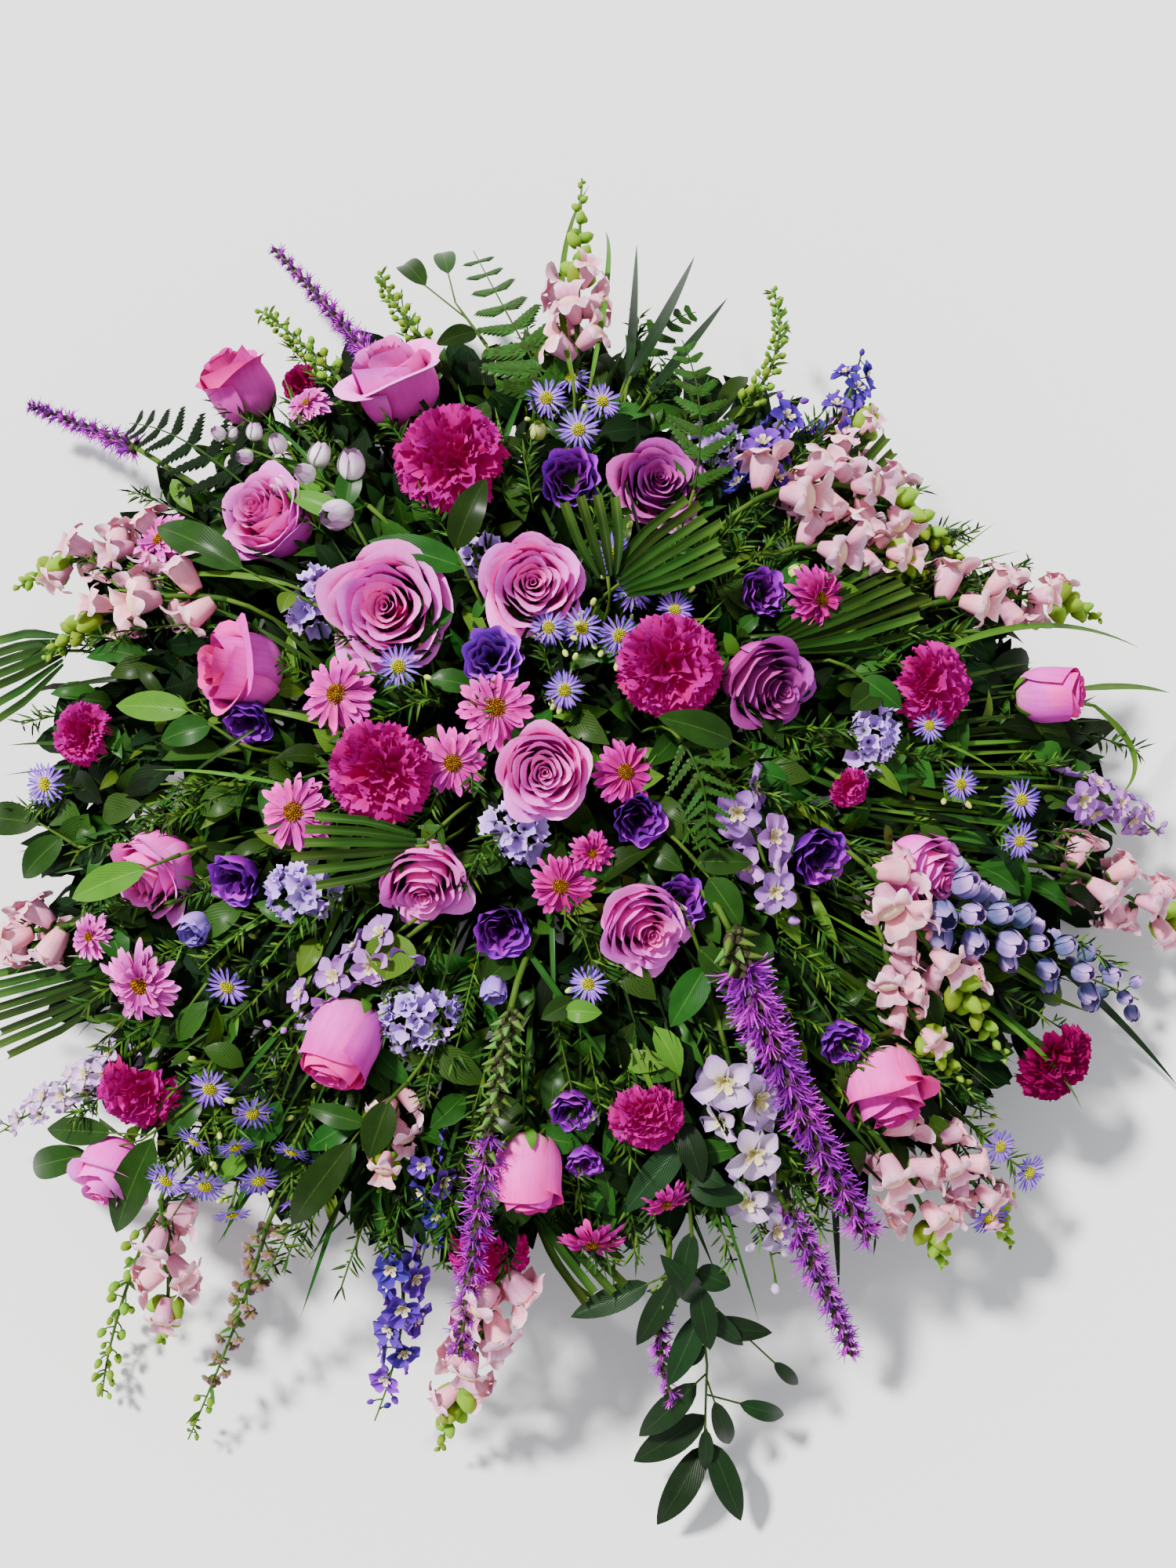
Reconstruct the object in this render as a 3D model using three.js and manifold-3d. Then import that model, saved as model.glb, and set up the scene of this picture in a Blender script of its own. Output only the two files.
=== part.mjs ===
// Cascading bouquet lying face up: mixed blooms, spikes and greens set in a block of floral foam on a low tray.
// Units are millimetres, +Z is up, the origin is the middle of the tray's flat underside, -Y is the long trail.
import * as THREE from 'three';
import { ParametricGeometry } from 'three/addons/geometries/ParametricGeometry.js';
import { mergeVertices } from 'three/addons/utils/BufferGeometryUtils.js';
import Module from 'manifold-3d';

const wasm = await Module();
wasm.setup();
const { Manifold } = wasm;
const V = (x, y, z) => new THREE.Vector3(x, y, z);

// Holder: low tray and the foam block standing in it
const TRAY_LENGTH = 250;
const TRAY_WIDTH = 150;
const TRAY_HEIGHT = 30;
const TRAY_WALL = 3;
const FOAM_LENGTH = 226;
const FOAM_WIDTH = 126;
const FOAM_TOP = 92;
const FIT_GAP = 0.35;
const SEAT_GAP = 0.5;

// Mass of blooms: a low dome over the foam, longer towards the front
const DOME_SIDE = 430;
const DOME_FRONT = 460;
const DOME_BACK = 380;
const RIM_HEIGHT = 42;
const CROWN_HEIGHT = 195;
const LOWEST = 9;

// Stems: they fan out from the core of the foam and sag under their own weight
const CORE = V(0, 0, 46);
const SAG = 0.00045;
const ROSE_STEM = 2.2;
const SPRAY_STEM = 1.7;
const TWIG = 1.0;

// The eye that saw the bouquet: places in the tables are read in its 1500 x 2000 picture
const EYE_AIM = V(28, -27, 110);
const EYE_DISTANCE = 1120;
const EYE_ELEVATION = THREE.MathUtils.degToRad(78);
const EYE_LENS = 2144.5;
const EYE_LOOK = V(0, Math.cos(EYE_ELEVATION), -Math.sin(EYE_ELEVATION));
const EYE_RIGHT = V(1, 0, 0);
const EYE_UP = V(0, Math.sin(EYE_ELEVATION), Math.cos(EYE_ELEVATION));
const EYE = EYE_AIM.clone().addScaledVector(EYE_LOOK, -EYE_DISTANCE);

// Height of the bloom dome over a point of the ground
function domeHeight(x, y) {
  const reach = y > 0 ? DOME_BACK : DOME_FRONT;
  const rho = Math.hypot(x / DOME_SIDE, y / reach);
  if (rho >= 1) return Math.max(RIM_HEIGHT - 80 * (rho - 1), 16);
  return RIM_HEIGHT + CROWN_HEIGHT * Math.pow(1 - rho * rho, 0.75);
}

// Point where the line of sight through a place in the picture meets the dome raised by lift
function placed(seen, lift = 0) {
  const ray = EYE_LOOK.clone();
  ray.addScaledVector(EYE_RIGHT, (seen[0] - 750) / EYE_LENS);
  ray.addScaledVector(EYE_UP, (1000 - seen[1]) / EYE_LENS);
  const at = V(0, 0, 0);
  let height = 150;
  for (let step = 0; step < 24; step += 1) {
    at.copy(EYE).addScaledVector(ray, (height - EYE.z) / ray.z);
    height = Math.max(0.5 * (height + domeHeight(at.x, at.y) + lift), LOWEST);
  }
  return at;
}

// Millimetres that one step of the picture covers at a point
function pictureScale(at) {
  return at.clone().sub(EYE).dot(EYE_LOOK) / EYE_LENS;
}

// Direction that a bloom faces, leaning right and up in the picture by the two numbers
function facing(at, lean) {
  const towards = Math.sqrt(Math.max(1 - lean[0] * lean[0] - lean[1] * lean[1], 0.02));
  const out = EYE.clone().sub(at).normalize().multiplyScalar(towards);
  return out.addScaledVector(EYE_RIGHT, lean[0]).addScaledVector(EYE_UP, lean[1]).normalize();
}

// Frame of a bloom: its own z axis is the facing direction
function bloomFrame(at, face, spin = 0) {
  const side = Math.abs(face.z) > 0.9 ? V(1, 0, 0) : V(0, 0, 1);
  const x = side.clone().cross(face).normalize();
  const y = face.clone().cross(x).normalize();
  return (radius, angle, height) => {
    const point = at.clone().addScaledVector(face, height);
    point.addScaledVector(x, radius * Math.cos(angle + spin));
    return point.addScaledVector(y, radius * Math.sin(angle + spin));
  };
}

// Repeatable number between 0 and 1 for a count
function drawn(count) {
  const wave = Math.sin(count * 127.1 + 311.7) * 43758.5453;
  return wave - Math.floor(wave);
}

// Closed surface through rings of points; a ring of one point is a pole
function skin(rings) {
  const around = Math.max(...rings.map((ring) => ring.length));
  const last = rings.length - 1;
  const surface = (u, v, out) => {
    const ring = rings[Math.round(v * last)];
    out.copy(ring[Math.round(u * around) % ring.length]);
  };
  return closedGeometry(new ParametricGeometry(surface, around, last));
}

// Merged, outward facing copy of a geometry without collapsed faces
function closedGeometry(geometry) {
  geometry.deleteAttribute('normal');
  geometry.deleteAttribute('uv');
  const merged = mergeVertices(geometry, 1e-3);
  const source = merged.index.array;
  const place = merged.attributes.position;
  const [a, b, c] = [V(0, 0, 0), V(0, 0, 0), V(0, 0, 0)];
  const faces = [];
  let volume = 0;
  for (let k = 0; k < source.length; k += 3) {
    const corner = [source[k], source[k + 1], source[k + 2]];
    if (new Set(corner).size < 3) continue;
    a.fromBufferAttribute(place, corner[0]);
    b.fromBufferAttribute(place, corner[1]);
    c.fromBufferAttribute(place, corner[2]);
    volume += a.dot(b.clone().cross(c));
    faces.push(corner);
  }
  if (volume < 0) faces.forEach((corner) => corner.reverse());
  merged.setIndex(faces.flat());
  merged.computeVertexNormals();
  lengthenNormals(merged);
  return merged;
}

// Normals of sharp corners are made longer, so that the faces round them move out by the full swell
function lengthenNormals(geometry) {
  const place = geometry.attributes.position;
  const normal = geometry.attributes.normal;
  const [a, b, c, n] = [V(0, 0, 0), V(0, 0, 0), V(0, 0, 0), V(0, 0, 0)];
  const least = new Array(place.count).fill(1);
  const index = geometry.index.array;
  for (let k = 0; k < index.length; k += 3) {
    a.fromBufferAttribute(place, index[k]);
    b.fromBufferAttribute(place, index[k + 1]).sub(a);
    c.fromBufferAttribute(place, index[k + 2]).sub(a);
    const face = b.clone().cross(c).normalize();
    [0, 1, 2].forEach((corner) => {
      const vertex = index[k + corner];
      least[vertex] = Math.min(least[vertex], face.dot(n.fromBufferAttribute(normal, vertex)));
    });
  }
  least.forEach((share, vertex) => {
    n.fromBufferAttribute(normal, vertex).multiplyScalar(1 / Math.max(share, 0.5));
    normal.setXYZ(vertex, n.x, n.y, n.z);
  });
}

// Solid of a closed geometry, swollen by so much where it serves as a cutter
function solidOf(geometry, swell = 0) {
  const place = geometry.attributes.position;
  const normal = geometry.attributes.normal;
  const vertProperties = new Float32Array(place.count * 3);
  for (let k = 0; k < place.count; k += 1) {
    vertProperties[3 * k] = place.getX(k) + swell * normal.getX(k);
    vertProperties[3 * k + 1] = place.getY(k) + swell * normal.getY(k);
    vertProperties[3 * k + 2] = place.getZ(k) + swell * normal.getZ(k);
  }
  const triVerts = new Uint32Array(geometry.index.array);
  return new Manifold(new wasm.Mesh({ numProp: 3, vertProperties, triVerts }));
}

// Three sided tube along points with a radius for each of them
function tube(points, radii) {
  const rings = [[points[0]]];
  let side = null;
  points.forEach((point, k) => {
    const before = points[Math.max(k - 1, 0)];
    const after = points[Math.min(k + 1, points.length - 1)];
    const run = after.clone().sub(before).normalize();
    if (!side) side = Math.abs(run.z) > 0.8 ? V(1, 0, 0) : V(0, 0, 1);
    side = side.clone().addScaledVector(run, -side.dot(run)).normalize();
    const cross = run.clone().cross(side);
    const ring = [];
    for (let n = 0; n < 3; n += 1) {
      const turn = 2 * Math.PI * n / 3;
      const rim = point.clone().addScaledVector(side, radii[k] * Math.cos(turn));
      ring.push(rim.addScaledVector(cross, radii[k] * Math.sin(turn)));
    }
    rings.push(ring);
  });
  rings.push([points[points.length - 1]]);
  return skin(rings);
}

// Thin blade: rows of { at, half, flat } give its middle, half width vector and face direction
function blade(base, rows, tip, thick) {
  const rings = [[base]];
  rows.forEach((row) => {
    const up = row.flat.clone().multiplyScalar(0.5 * thick);
    const left = row.at.clone().sub(row.half);
    const right = row.at.clone().add(row.half);
    rings.push([left.clone().sub(up), right.clone().sub(up), right.clone().add(up), left.clone().add(up)]);
  });
  rings.push([tip]);
  return skin(rings);
}

// Layered bloom as one skin: rows are radius, height and ripple; ripples make petals and the dips part the layers
function layered(frame, rows, sides) {
  return skin(rows.map((row, k) => {
    if (row[0] < 0.01) return [frame(0, 0, row[1])];
    const ring = [];
    for (let n = 0; n < sides; n += 1) {
      const way = n % 2 === 0 ? 1 : -1;
      const ripple = way * row[2] * row[0];
      ring.push(frame(row[0] + ripple, 2 * Math.PI * n / sides, row[1] + 0.4 * ripple));
    }
    return ring;
  }));
}

// Rose head: five rolled outer petals, a dip, and the egg shaped heart standing in it
function roseHead(at, face, r, open, spin) {
  const frame = bloomFrame(at, face, spin);
  const lip = 0.72 + 0.28 * open;
  const rows = [[0, -0.98, 0], [0.46, -0.74, 0.03], [0.78, -0.22, 0.05], [lip, 0.2 - 0.16 * open, 0.1]];
  rows.push([0.74 * lip, 0.02 - 0.06 * open, 0.04], [0.56, 0.4, -0.1], [0, 0.12, 0]);
  return [layered(frame, rows.map((row) => [row[0] * r, row[1] * r, row[2]]), 8)];
}

// Carnation head: two ruffled tiers of fringed petals
function carnationHead(at, face, r, spin) {
  const frame = bloomFrame(at, face, spin);
  const rows = [[0, -0.62, 0], [0.34, -0.46, 0.02], [0.98, -0.04, 0.11], [0.66, 0.1, -0.1], [0.6, 0.46, 0.16], [0, 0.28, 0]];
  return [layered(frame, rows.map((row) => [row[0] * r, row[1] * r, row[2]]), 10)];
}

// Lisianthus cup: three waved petals round a small heart
function cupHead(at, face, r, spin) {
  const frame = bloomFrame(at, face, spin);
  const rows = [[0, -0.95, 0], [0.62, -0.3, 0.06], [0.9, 0.34, 0.14], [0.36, -0.02, 0.1], [0, 0.22, 0]];
  return [layered(frame, rows.map((row) => [row[0] * r, row[1] * r, row[2]]), 6)];
}

// Ray flower: flat star of rays with a raised eye
function starHead(at, face, radius, rays, spin) {
  const frame = bloomFrame(at, face, spin);
  const rim = (height) => {
    const ring = [];
    for (let n = 0; n < 2 * rays; n += 1) {
      const long = n % 2 === 0 ? radius * (0.92 + 0.08 * drawn(n + radius)) : 0.5 * radius;
      ring.push(frame(long, Math.PI * n / rays, height));
    }
    return ring;
  };
  const rings = [[frame(0, 0, -0.7)], rim(-0.7), rim(0.7), [frame(0, 0, rays > 6 ? 0.22 * radius : 0.7)]];
  return [skin(rings)];
}

// Dense spike as one skin: points of each ring stand out by turns, like tufts on a cob
function cob(points, half, rows, dip) {
  const rings = [[points[0]]];
  for (let k = 0; k < rows; k += 1) {
    const share = (k + 0.6) / (rows + 0.4);
    const at = along(points, share);
    const run = along(points, Math.min(share + 0.05, 1)).sub(along(points, Math.max(share - 0.05, 0))).normalize();
    const frame = bloomFrame(at, run, 0);
    const reach = half * (1 - 0.45 * share);
    const ring = [];
    for (let n = 0; n < 6; n += 1) {
      const tuft = (n + k) % 2 === 0;
      ring.push(frame(reach * (tuft ? 1 : dip), Math.PI * n / 3, tuft ? 0.3 * reach : -0.2 * reach));
    }
    rings.push(ring);
  }
  rings.push([points[points.length - 1]]);
  return skin(rings);
}

// Point on a run of points at a share of its steps
function along(points, share) {
  const steps = points.length - 1;
  const whole = Math.min(Math.floor(share * steps), steps - 1);
  return points[whole].clone().lerp(points[whole + 1], share * steps - whole);
}

// Fern frond as one waved blade, each wide row is a pair of leaflets and each narrow one the gap before the next
function fernBlade(points, pairs, half) {
  const rows = [];
  for (let k = 0; k < 2 * pairs; k += 1) {
    const share = (k + 0.8) / (2 * pairs + 0.6);
    const run = along(points, Math.min(share + 0.05, 1)).sub(along(points, Math.max(share - 0.05, 0))).normalize();
    const side = run.clone().cross(V(0, 0, 1)).normalize();
    const flat = side.clone().cross(run).normalize();
    const reach = half * (1.06 - 0.9 * share) * (k % 2 === 0 ? 1 : 0.26);
    rows.push({ at: along(points, share), half: side.multiplyScalar(reach), flat });
  }
  return blade(points[0], rows, points[points.length - 1], 1.1);
}

// Cut palm fan: a flat slab whose outline runs round blunt ended strips and the slots between them
function palmFan(points, strips, half) {
  const root = points[0];
  const run = points[points.length - 1].clone().sub(root);
  const long = run.length();
  run.normalize();
  const side = run.clone().cross(V(0, 0, 1)).normalize();
  const flat = side.clone().cross(run).normalize();
  const shape = new THREE.Shape();
  shape.moveTo(-1.5, 0);
  shape.lineTo(1.5, 0);
  for (let k = 0; k < strips; k += 1) {
    const way = 1 - 2 * k / (strips - 1);
    const far = long * (0.82 + 0.18 * Math.cos(1.4 * way));
    const slot = 0.36 * half / strips;
    shape.lineTo(way * half + 1.6 * slot, far);
    shape.lineTo(way * half - 1.6 * slot, far);
    if (k + 1 < strips) shape.lineTo((way - 1 / (strips - 1)) * 0.62 * half, 0.55 * long);
  }
  const geometry = new THREE.ExtrudeGeometry(shape, { depth: 1.2, bevelEnabled: false });
  geometry.applyMatrix4(new THREE.Matrix4().makeBasis(side, run, flat).setPosition(root));
  return closedGeometry(geometry);
}

// Broad leaf from a point on its stem to its tip
function broadLeaf(root, tip, half, thick = 1.0) {
  const run = tip.clone().sub(root);
  const side = run.clone().cross(V(0, 0, 1)).normalize();
  const flat = side.clone().cross(run).normalize();
  const bow = flat.clone().multiplyScalar(0.08 * run.length());
  const low = root.clone().addScaledVector(run, half > 9 ? 0.32 : 0.45).add(bow);
  const high = root.clone().addScaledVector(run, 0.68).add(bow);
  const rows = [{ at: low, half: side.clone().multiplyScalar(half), flat }];
  if (half > 9) rows.push({ at: high, half: side.clone().multiplyScalar(0.78 * half), flat });
  return blade(root, rows, tip, thick);
}

// Roses: place, width, lean to the right and up, how far open, lift over the dome
const ROSES = [
  { seen: [500, 480], wide: 132, lean: [-0.35, 0.8], open: 0.5, lift: 10 },
  { seen: [305, 495], wide: 100, lean: [-0.5, 0.75], open: 0.3, lift: 0 },
  { seen: [335, 655], wide: 134, lean: [-0.5, 0.35], open: 0.7, lift: 4 },
  { seen: [495, 775], wide: 166, lean: [-0.15, 0.08], open: 1.0, lift: 8 },
  { seen: [680, 745], wide: 136, lean: [0.0, 0.1], open: 0.9, lift: 10 },
  { seen: [840, 615], wide: 118, lean: [0.1, 0.3], open: 0.9, lift: 4 },
  { seen: [305, 855], wide: 120, lean: [-0.85, 0.1], open: 0.4, lift: 4 },
  { seen: [985, 875], wide: 132, lean: [0.55, -0.25], open: 0.7, lift: 8 },
  { seen: [695, 985], wide: 124, lean: [0.0, -0.05], open: 0.9, lift: 16 },
  { seen: [540, 1130], wide: 124, lean: [-0.05, -0.6], open: 0.8, lift: 6 },
  { seen: [825, 1185], wide: 126, lean: [0.35, -0.35], open: 0.8, lift: 8 },
  { seen: [1335, 885], wide: 84, lean: [0.9, 0.05], open: 0.1, lift: 4 },
  { seen: [1185, 1115], wide: 118, lean: [0.75, -0.3], open: 0.6, lift: 2 },
  { seen: [190, 1120], wide: 130, lean: [-0.6, -0.45], open: 0.7, lift: 0 },
  { seen: [440, 1325], wide: 112, lean: [-0.35, -0.8], open: 0.15, lift: 6 },
  { seen: [675, 1490], wide: 100, lean: [0.02, -0.95], open: 0.1, lift: 6 },
  { seen: [1130, 1390], wide: 122, lean: [0.3, -0.85], open: 0.45, lift: 0 },
  { seen: [140, 1500], wide: 104, lean: [-0.4, -0.75], open: 0.5, lift: 0 },
];

// Carnations: place, width, lean and lift
const CARNATIONS = [
  { seen: [575, 583], wide: 156, lean: [-0.2, 0.4], lift: 6 },
  { seen: [855, 850], wide: 144, lean: [0.2, 0.0], lift: 14 },
  { seen: [485, 985], wide: 146, lean: [-0.3, -0.15], lift: 8 },
  { seen: [105, 935], wide: 86, lean: [-0.6, 0.1], lift: 4 },
  { seen: [1190, 875], wide: 120, lean: [0.7, 0.0], lift: 4 },
  { seen: [1082, 1005], wide: 62, lean: [0.5, -0.5], lift: 6 },
  { seen: [180, 1395], wide: 118, lean: [-0.3, -0.7], lift: 0 },
  { seen: [1345, 1355], wide: 116, lean: [0.6, -0.5], lift: 0 },
  { seen: [825, 1425], wide: 104, lean: [0.05, -0.65], lift: 2 },
  { seen: [625, 1600], wide: 112, lean: [0.05, -0.8], lift: -16 },
  { seen: [385, 488], wide: 60, lean: [-0.4, 0.6], lift: -10 },
];

// Lisianthus sprays: blooms and tight buds
const LISIANTHUS = {
  upper: [[[728, 610, 82, 0.05, 0.15], [686, 548, 36, 0, 0.6]], [[628, 838, 82, 0, 0.1]],
    [[972, 755, 66, 0.5, 0.1], [1015, 728, 30, 0.5, 0.5]]],
  middle: [[[815, 1045, 72, 0.2, -0.3], [868, 1150, 70, 0.4, 0]], [[1045, 1090, 80, 0.4, -0.4]]],
  left: [[[318, 920, 66, -0.3, -0.6]], [[300, 1120, 74, -0.5, -0.4], [248, 1185, 58, -0.4, -0.5]]],
  lower: [[[640, 1187, 76, 0, -0.4], [630, 1265, 48, 0, -0.8]], [[730, 1415, 62, 0, -0.6], [745, 1482, 50, 0, -0.7]],
    [[1075, 1328, 66, 0.3, -0.6]]],
};

// Daisy mums: place, width and lean
const MUMS = {
  centre: [[[430, 885, 116, -0.4, 0.2], [375, 1035, 116, -0.4, 0]], [[632, 903, 116, 0, 0.1], [578, 972, 104, -0.1, -0.2]]],
  right: [[[797, 985, 96, 0.4, 0.1]], [[1045, 765, 104, 0.6, 0.1]]],
  left: [[[180, 1255, 128, -0.5, -0.4], [115, 1195, 72, -0.6, 0]], [[205, 690, 100, -0.6, 0.4]], [[392, 515, 70, -0.4, 0.6]]],
  bottom: [[[755, 1585, 100, 0.1, -0.85], [850, 1535, 76, 0.3, -0.8]],
    [[715, 1130, 94, 0, -0.3], [755, 1088, 64, 0.2, -0.2]]],
};

// Aster sprays: clusters of place, width and lean
const ASTERS = {
  top: [[[697, 508, 62, 0, 0.3], [738, 548, 62, 0, 0.2], [768, 512, 58, 0.2, 0.4], [728, 482, 56, 0, 0.6]]],
  centre: [[[782, 707, 62, 0, 0.2], [808, 754, 62, 0, 0.1], [860, 778, 58, 0.3, 0.2]],
    [[742, 800, 64, 0, 0], [700, 800, 58, -0.2, 0], [790, 810, 64, 0.1, -0.1], [720, 880, 60, 0, -0.1]]],
  left: [[[508, 850, 66, 0, 0]], [[58, 1000, 70, -0.6, 0]], [[290, 1258, 66, -0.3, -0.5], [268, 1388, 66, -0.2, -0.5],
    [322, 1420, 62, 0.1, -0.6]], [[330, 1505, 66, 0.1, -0.7], [262, 1512, 66, -0.1, -0.7], [212, 1505, 66, -0.4, -0.6]]],
  right: [[[1185, 925, 50, 0.3, 0], [1225, 1000, 54, 0.4, -0.1], [1302, 1020, 60, 0.4, -0.1], [1300, 1072, 56, 0.4, -0.2]],
    [[1275, 1462, 56, 0.5, -0.3], [1312, 1495, 60, 0.6, -0.3], [1262, 1552, 64, 0.4, -0.6]], [[750, 1255, 60, 0, 0]]],
};

// Statice: clusters of place, width and lean
const STATICE = {
  left: [[[535, 1298, 92, 0, -0.4]], [[398, 768, 64, -0.4, 0.2], [612, 712, 56, 0, 0.2]], [[385, 1135, 78, -0.3, -0.3]],
    [[660, 1062, 70, 0, -0.2]]],
  right: [[[1112, 940, 74, 0.5, 0]], [[915, 572, 60, 0.2, 0.5]]],
};

// Spikes: three places from foot to tip with lifts, width at the foot
const SNAPDRAGONS = {
  upper: [[735, 470, 10, 738, 340, 55, 742, 228, 85, 84], [1030, 650, -12, 1085, 570, -4, 1112, 520, 4, 80],
    [960, 640, 12, 1100, 625, 18, 1228, 722, 4, 108], [1010, 700, 2, 1110, 700, 6, 1180, 735, 0, 84],
    [1190, 770, 0, 1310, 762, 2, 1404, 790, -4, 90]],
  right: [[1360, 1110, 0, 1450, 1150, 0, 1530, 1212, -6, 104], [1105, 1105, 12, 1190, 1215, 10, 1285, 1352, 0, 92],
    [1130, 1210, 4, 1160, 1290, 2, 1238, 1388, 0, 80], [1110, 1440, 2, 1172, 1530, 0, 1202, 1615, -4, 118],
    [1190, 1450, 0, 1250, 1520, 0, 1290, 1590, -4, 70]],
  left: [[290, 765, 4, 160, 772, 4, 58, 842, -2, 96], [240, 690, -8, 120, 708, -8, 18, 752, -12, 84],
    [90, 1180, -4, 10, 1195, -8, -60, 1216, -10, 92]],
  bottom: [[205, 1530, 0, 215, 1630, -4, 205, 1712, -8, 86], [505, 1380, -8, 498, 1450, -8, 485, 1525, -10, 72],
    [645, 1610, -6, 600, 1735, -8, 560, 1850, -10, 92]],
};
const LARKSPURS = {
  upper: [[960, 640, -8, 985, 560, 0, 1012, 505, 6, 72], [1050, 570, -6, 1082, 505, 4, 1098, 452, 12, 66],
    [950, 520, 0, 992, 440, 14, 984, 368, 20, 34], [545, 440, 0, 505, 388, 8, 486, 350, 12, 36]],
  left: [[470, 645, 2, 360, 590, 8, 272, 560, 8, 64], [520, 1195, 2, 430, 1250, 0, 325, 1345, -4, 74],
    [165, 1345, -4, 80, 1395, -6, -12, 1452, -8, 54], [430, 480, 2, 375, 430, 8, 332, 396, 12, 36]],
  right: [[930, 1000, 2, 972, 1090, 6, 992, 1185, 0, 84], [1180, 1140, -2, 1300, 1205, -4, 1452, 1275, -8, 82],
    [1350, 1005, 0, 1430, 1030, 0, 1478, 1066, -4, 62], [925, 1335, 2, 958, 1480, -4, 992, 1645, -6, 92]],
  bottom: [[195, 1555, -4, 150, 1680, -6, 130, 1782, -8, 52], [342, 1560, -6, 300, 1690, -8, 240, 1836, -8, 50],
    [505, 1590, -8, 512, 1690, -8, 478, 1812, -8, 66], [540, 1455, -8, 555, 1530, -8, 552, 1605, -8, 56]],
};
const LIATRIS = {
  upper: [[485, 475, 6, 425, 400, 14, 350, 318, 22, 40], [175, 572, 2, 110, 545, 6, 38, 517, 10, 34]],
  lower: [[930, 1185, 20, 1005, 1380, 12, 1108, 1578, 4, 88], [1000, 1535, -2, 1050, 1640, -4, 1086, 1728, -6, 64],
    [652, 1285, 18, 618, 1490, 22, 586, 1730, 8, 66], [852, 1625, -6, 842, 1705, -8, 858, 1786, -8, 34]],
};

// Fern fronds, palm fans and narrow leaves: three places from foot to tip with lifts, width
const FERNS = [
  [705, 505, 0, 655, 415, 16, 604, 320, 26, 130], [800, 480, 0, 842, 422, 10, 888, 398, 14, 64],
  [885, 625, 8, 892, 520, 24, 870, 434, 30, 104], [335, 640, 2, 240, 565, 12, 165, 540, 12, 140],
  [870, 945, 18, 898, 1010, 26, 900, 1085, 20, 110], [565, 1052, 10, 520, 1090, 14, 492, 1100, 14, 56],
];
const PALMS = [
  [775, 735, 18, 765, 690, 28, 748, 622, 30, 66], [790, 745, 16, 860, 715, 26, 925, 668, 24, 110],
  [530, 1080, 14, 455, 1082, 24, 372, 1086, 20, 92], [150, 1235, -4, 60, 1265, -2, -28, 1288, -4, 140],
  [1000, 815, 2, 1090, 780, 8, 1178, 742, 6, 120], [690, 1545, -6, 728, 1600, -6, 786, 1652, -6, 70],
  [80, 830, -6, 20, 858, -8, -34, 880, -8, 110], [1060, 640, 0, 1100, 600, 6, 1130, 560, 8, 80],
];
const BLADES = [
  [805, 480, 4, 850, 400, 20, 886, 327, 28, 16], [830, 500, 4, 880, 440, 16, 928, 380, 22, 14],
  [800, 490, 0, 808, 400, 14, 812, 312, 24, 12], [730, 480, 16, 718, 340, 52, 752, 236, 70, 9],
  [755, 480, 16, 775, 350, 50, 772, 296, 60, 8], [1190, 835, 4, 1330, 798, 8, 1452, 826, 6, 9],
  [1370, 880, 2, 1440, 876, 4, 1492, 884, 0, 9], [1395, 900, 0, 1445, 960, 2, 1432, 1012, 0, 9],
  [1250, 1085, -12, 1340, 1092, -14, 1440, 1118, -18, 14], [1290, 1180, -20, 1410, 1285, -20, 1502, 1385, -16, 12],
  [1060, 1440, -16, 1066, 1560, -18, 1070, 1642, -16, 10], [1035, 1430, -4, 1040, 1500, -4, 1044, 1562, -6, 9],
  [365, 745, 6, 270, 732, 10, 182, 742, 6, 8], [690, 1560, -8, 735, 1640, -8, 790, 1655, -8, 8],
];

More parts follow.
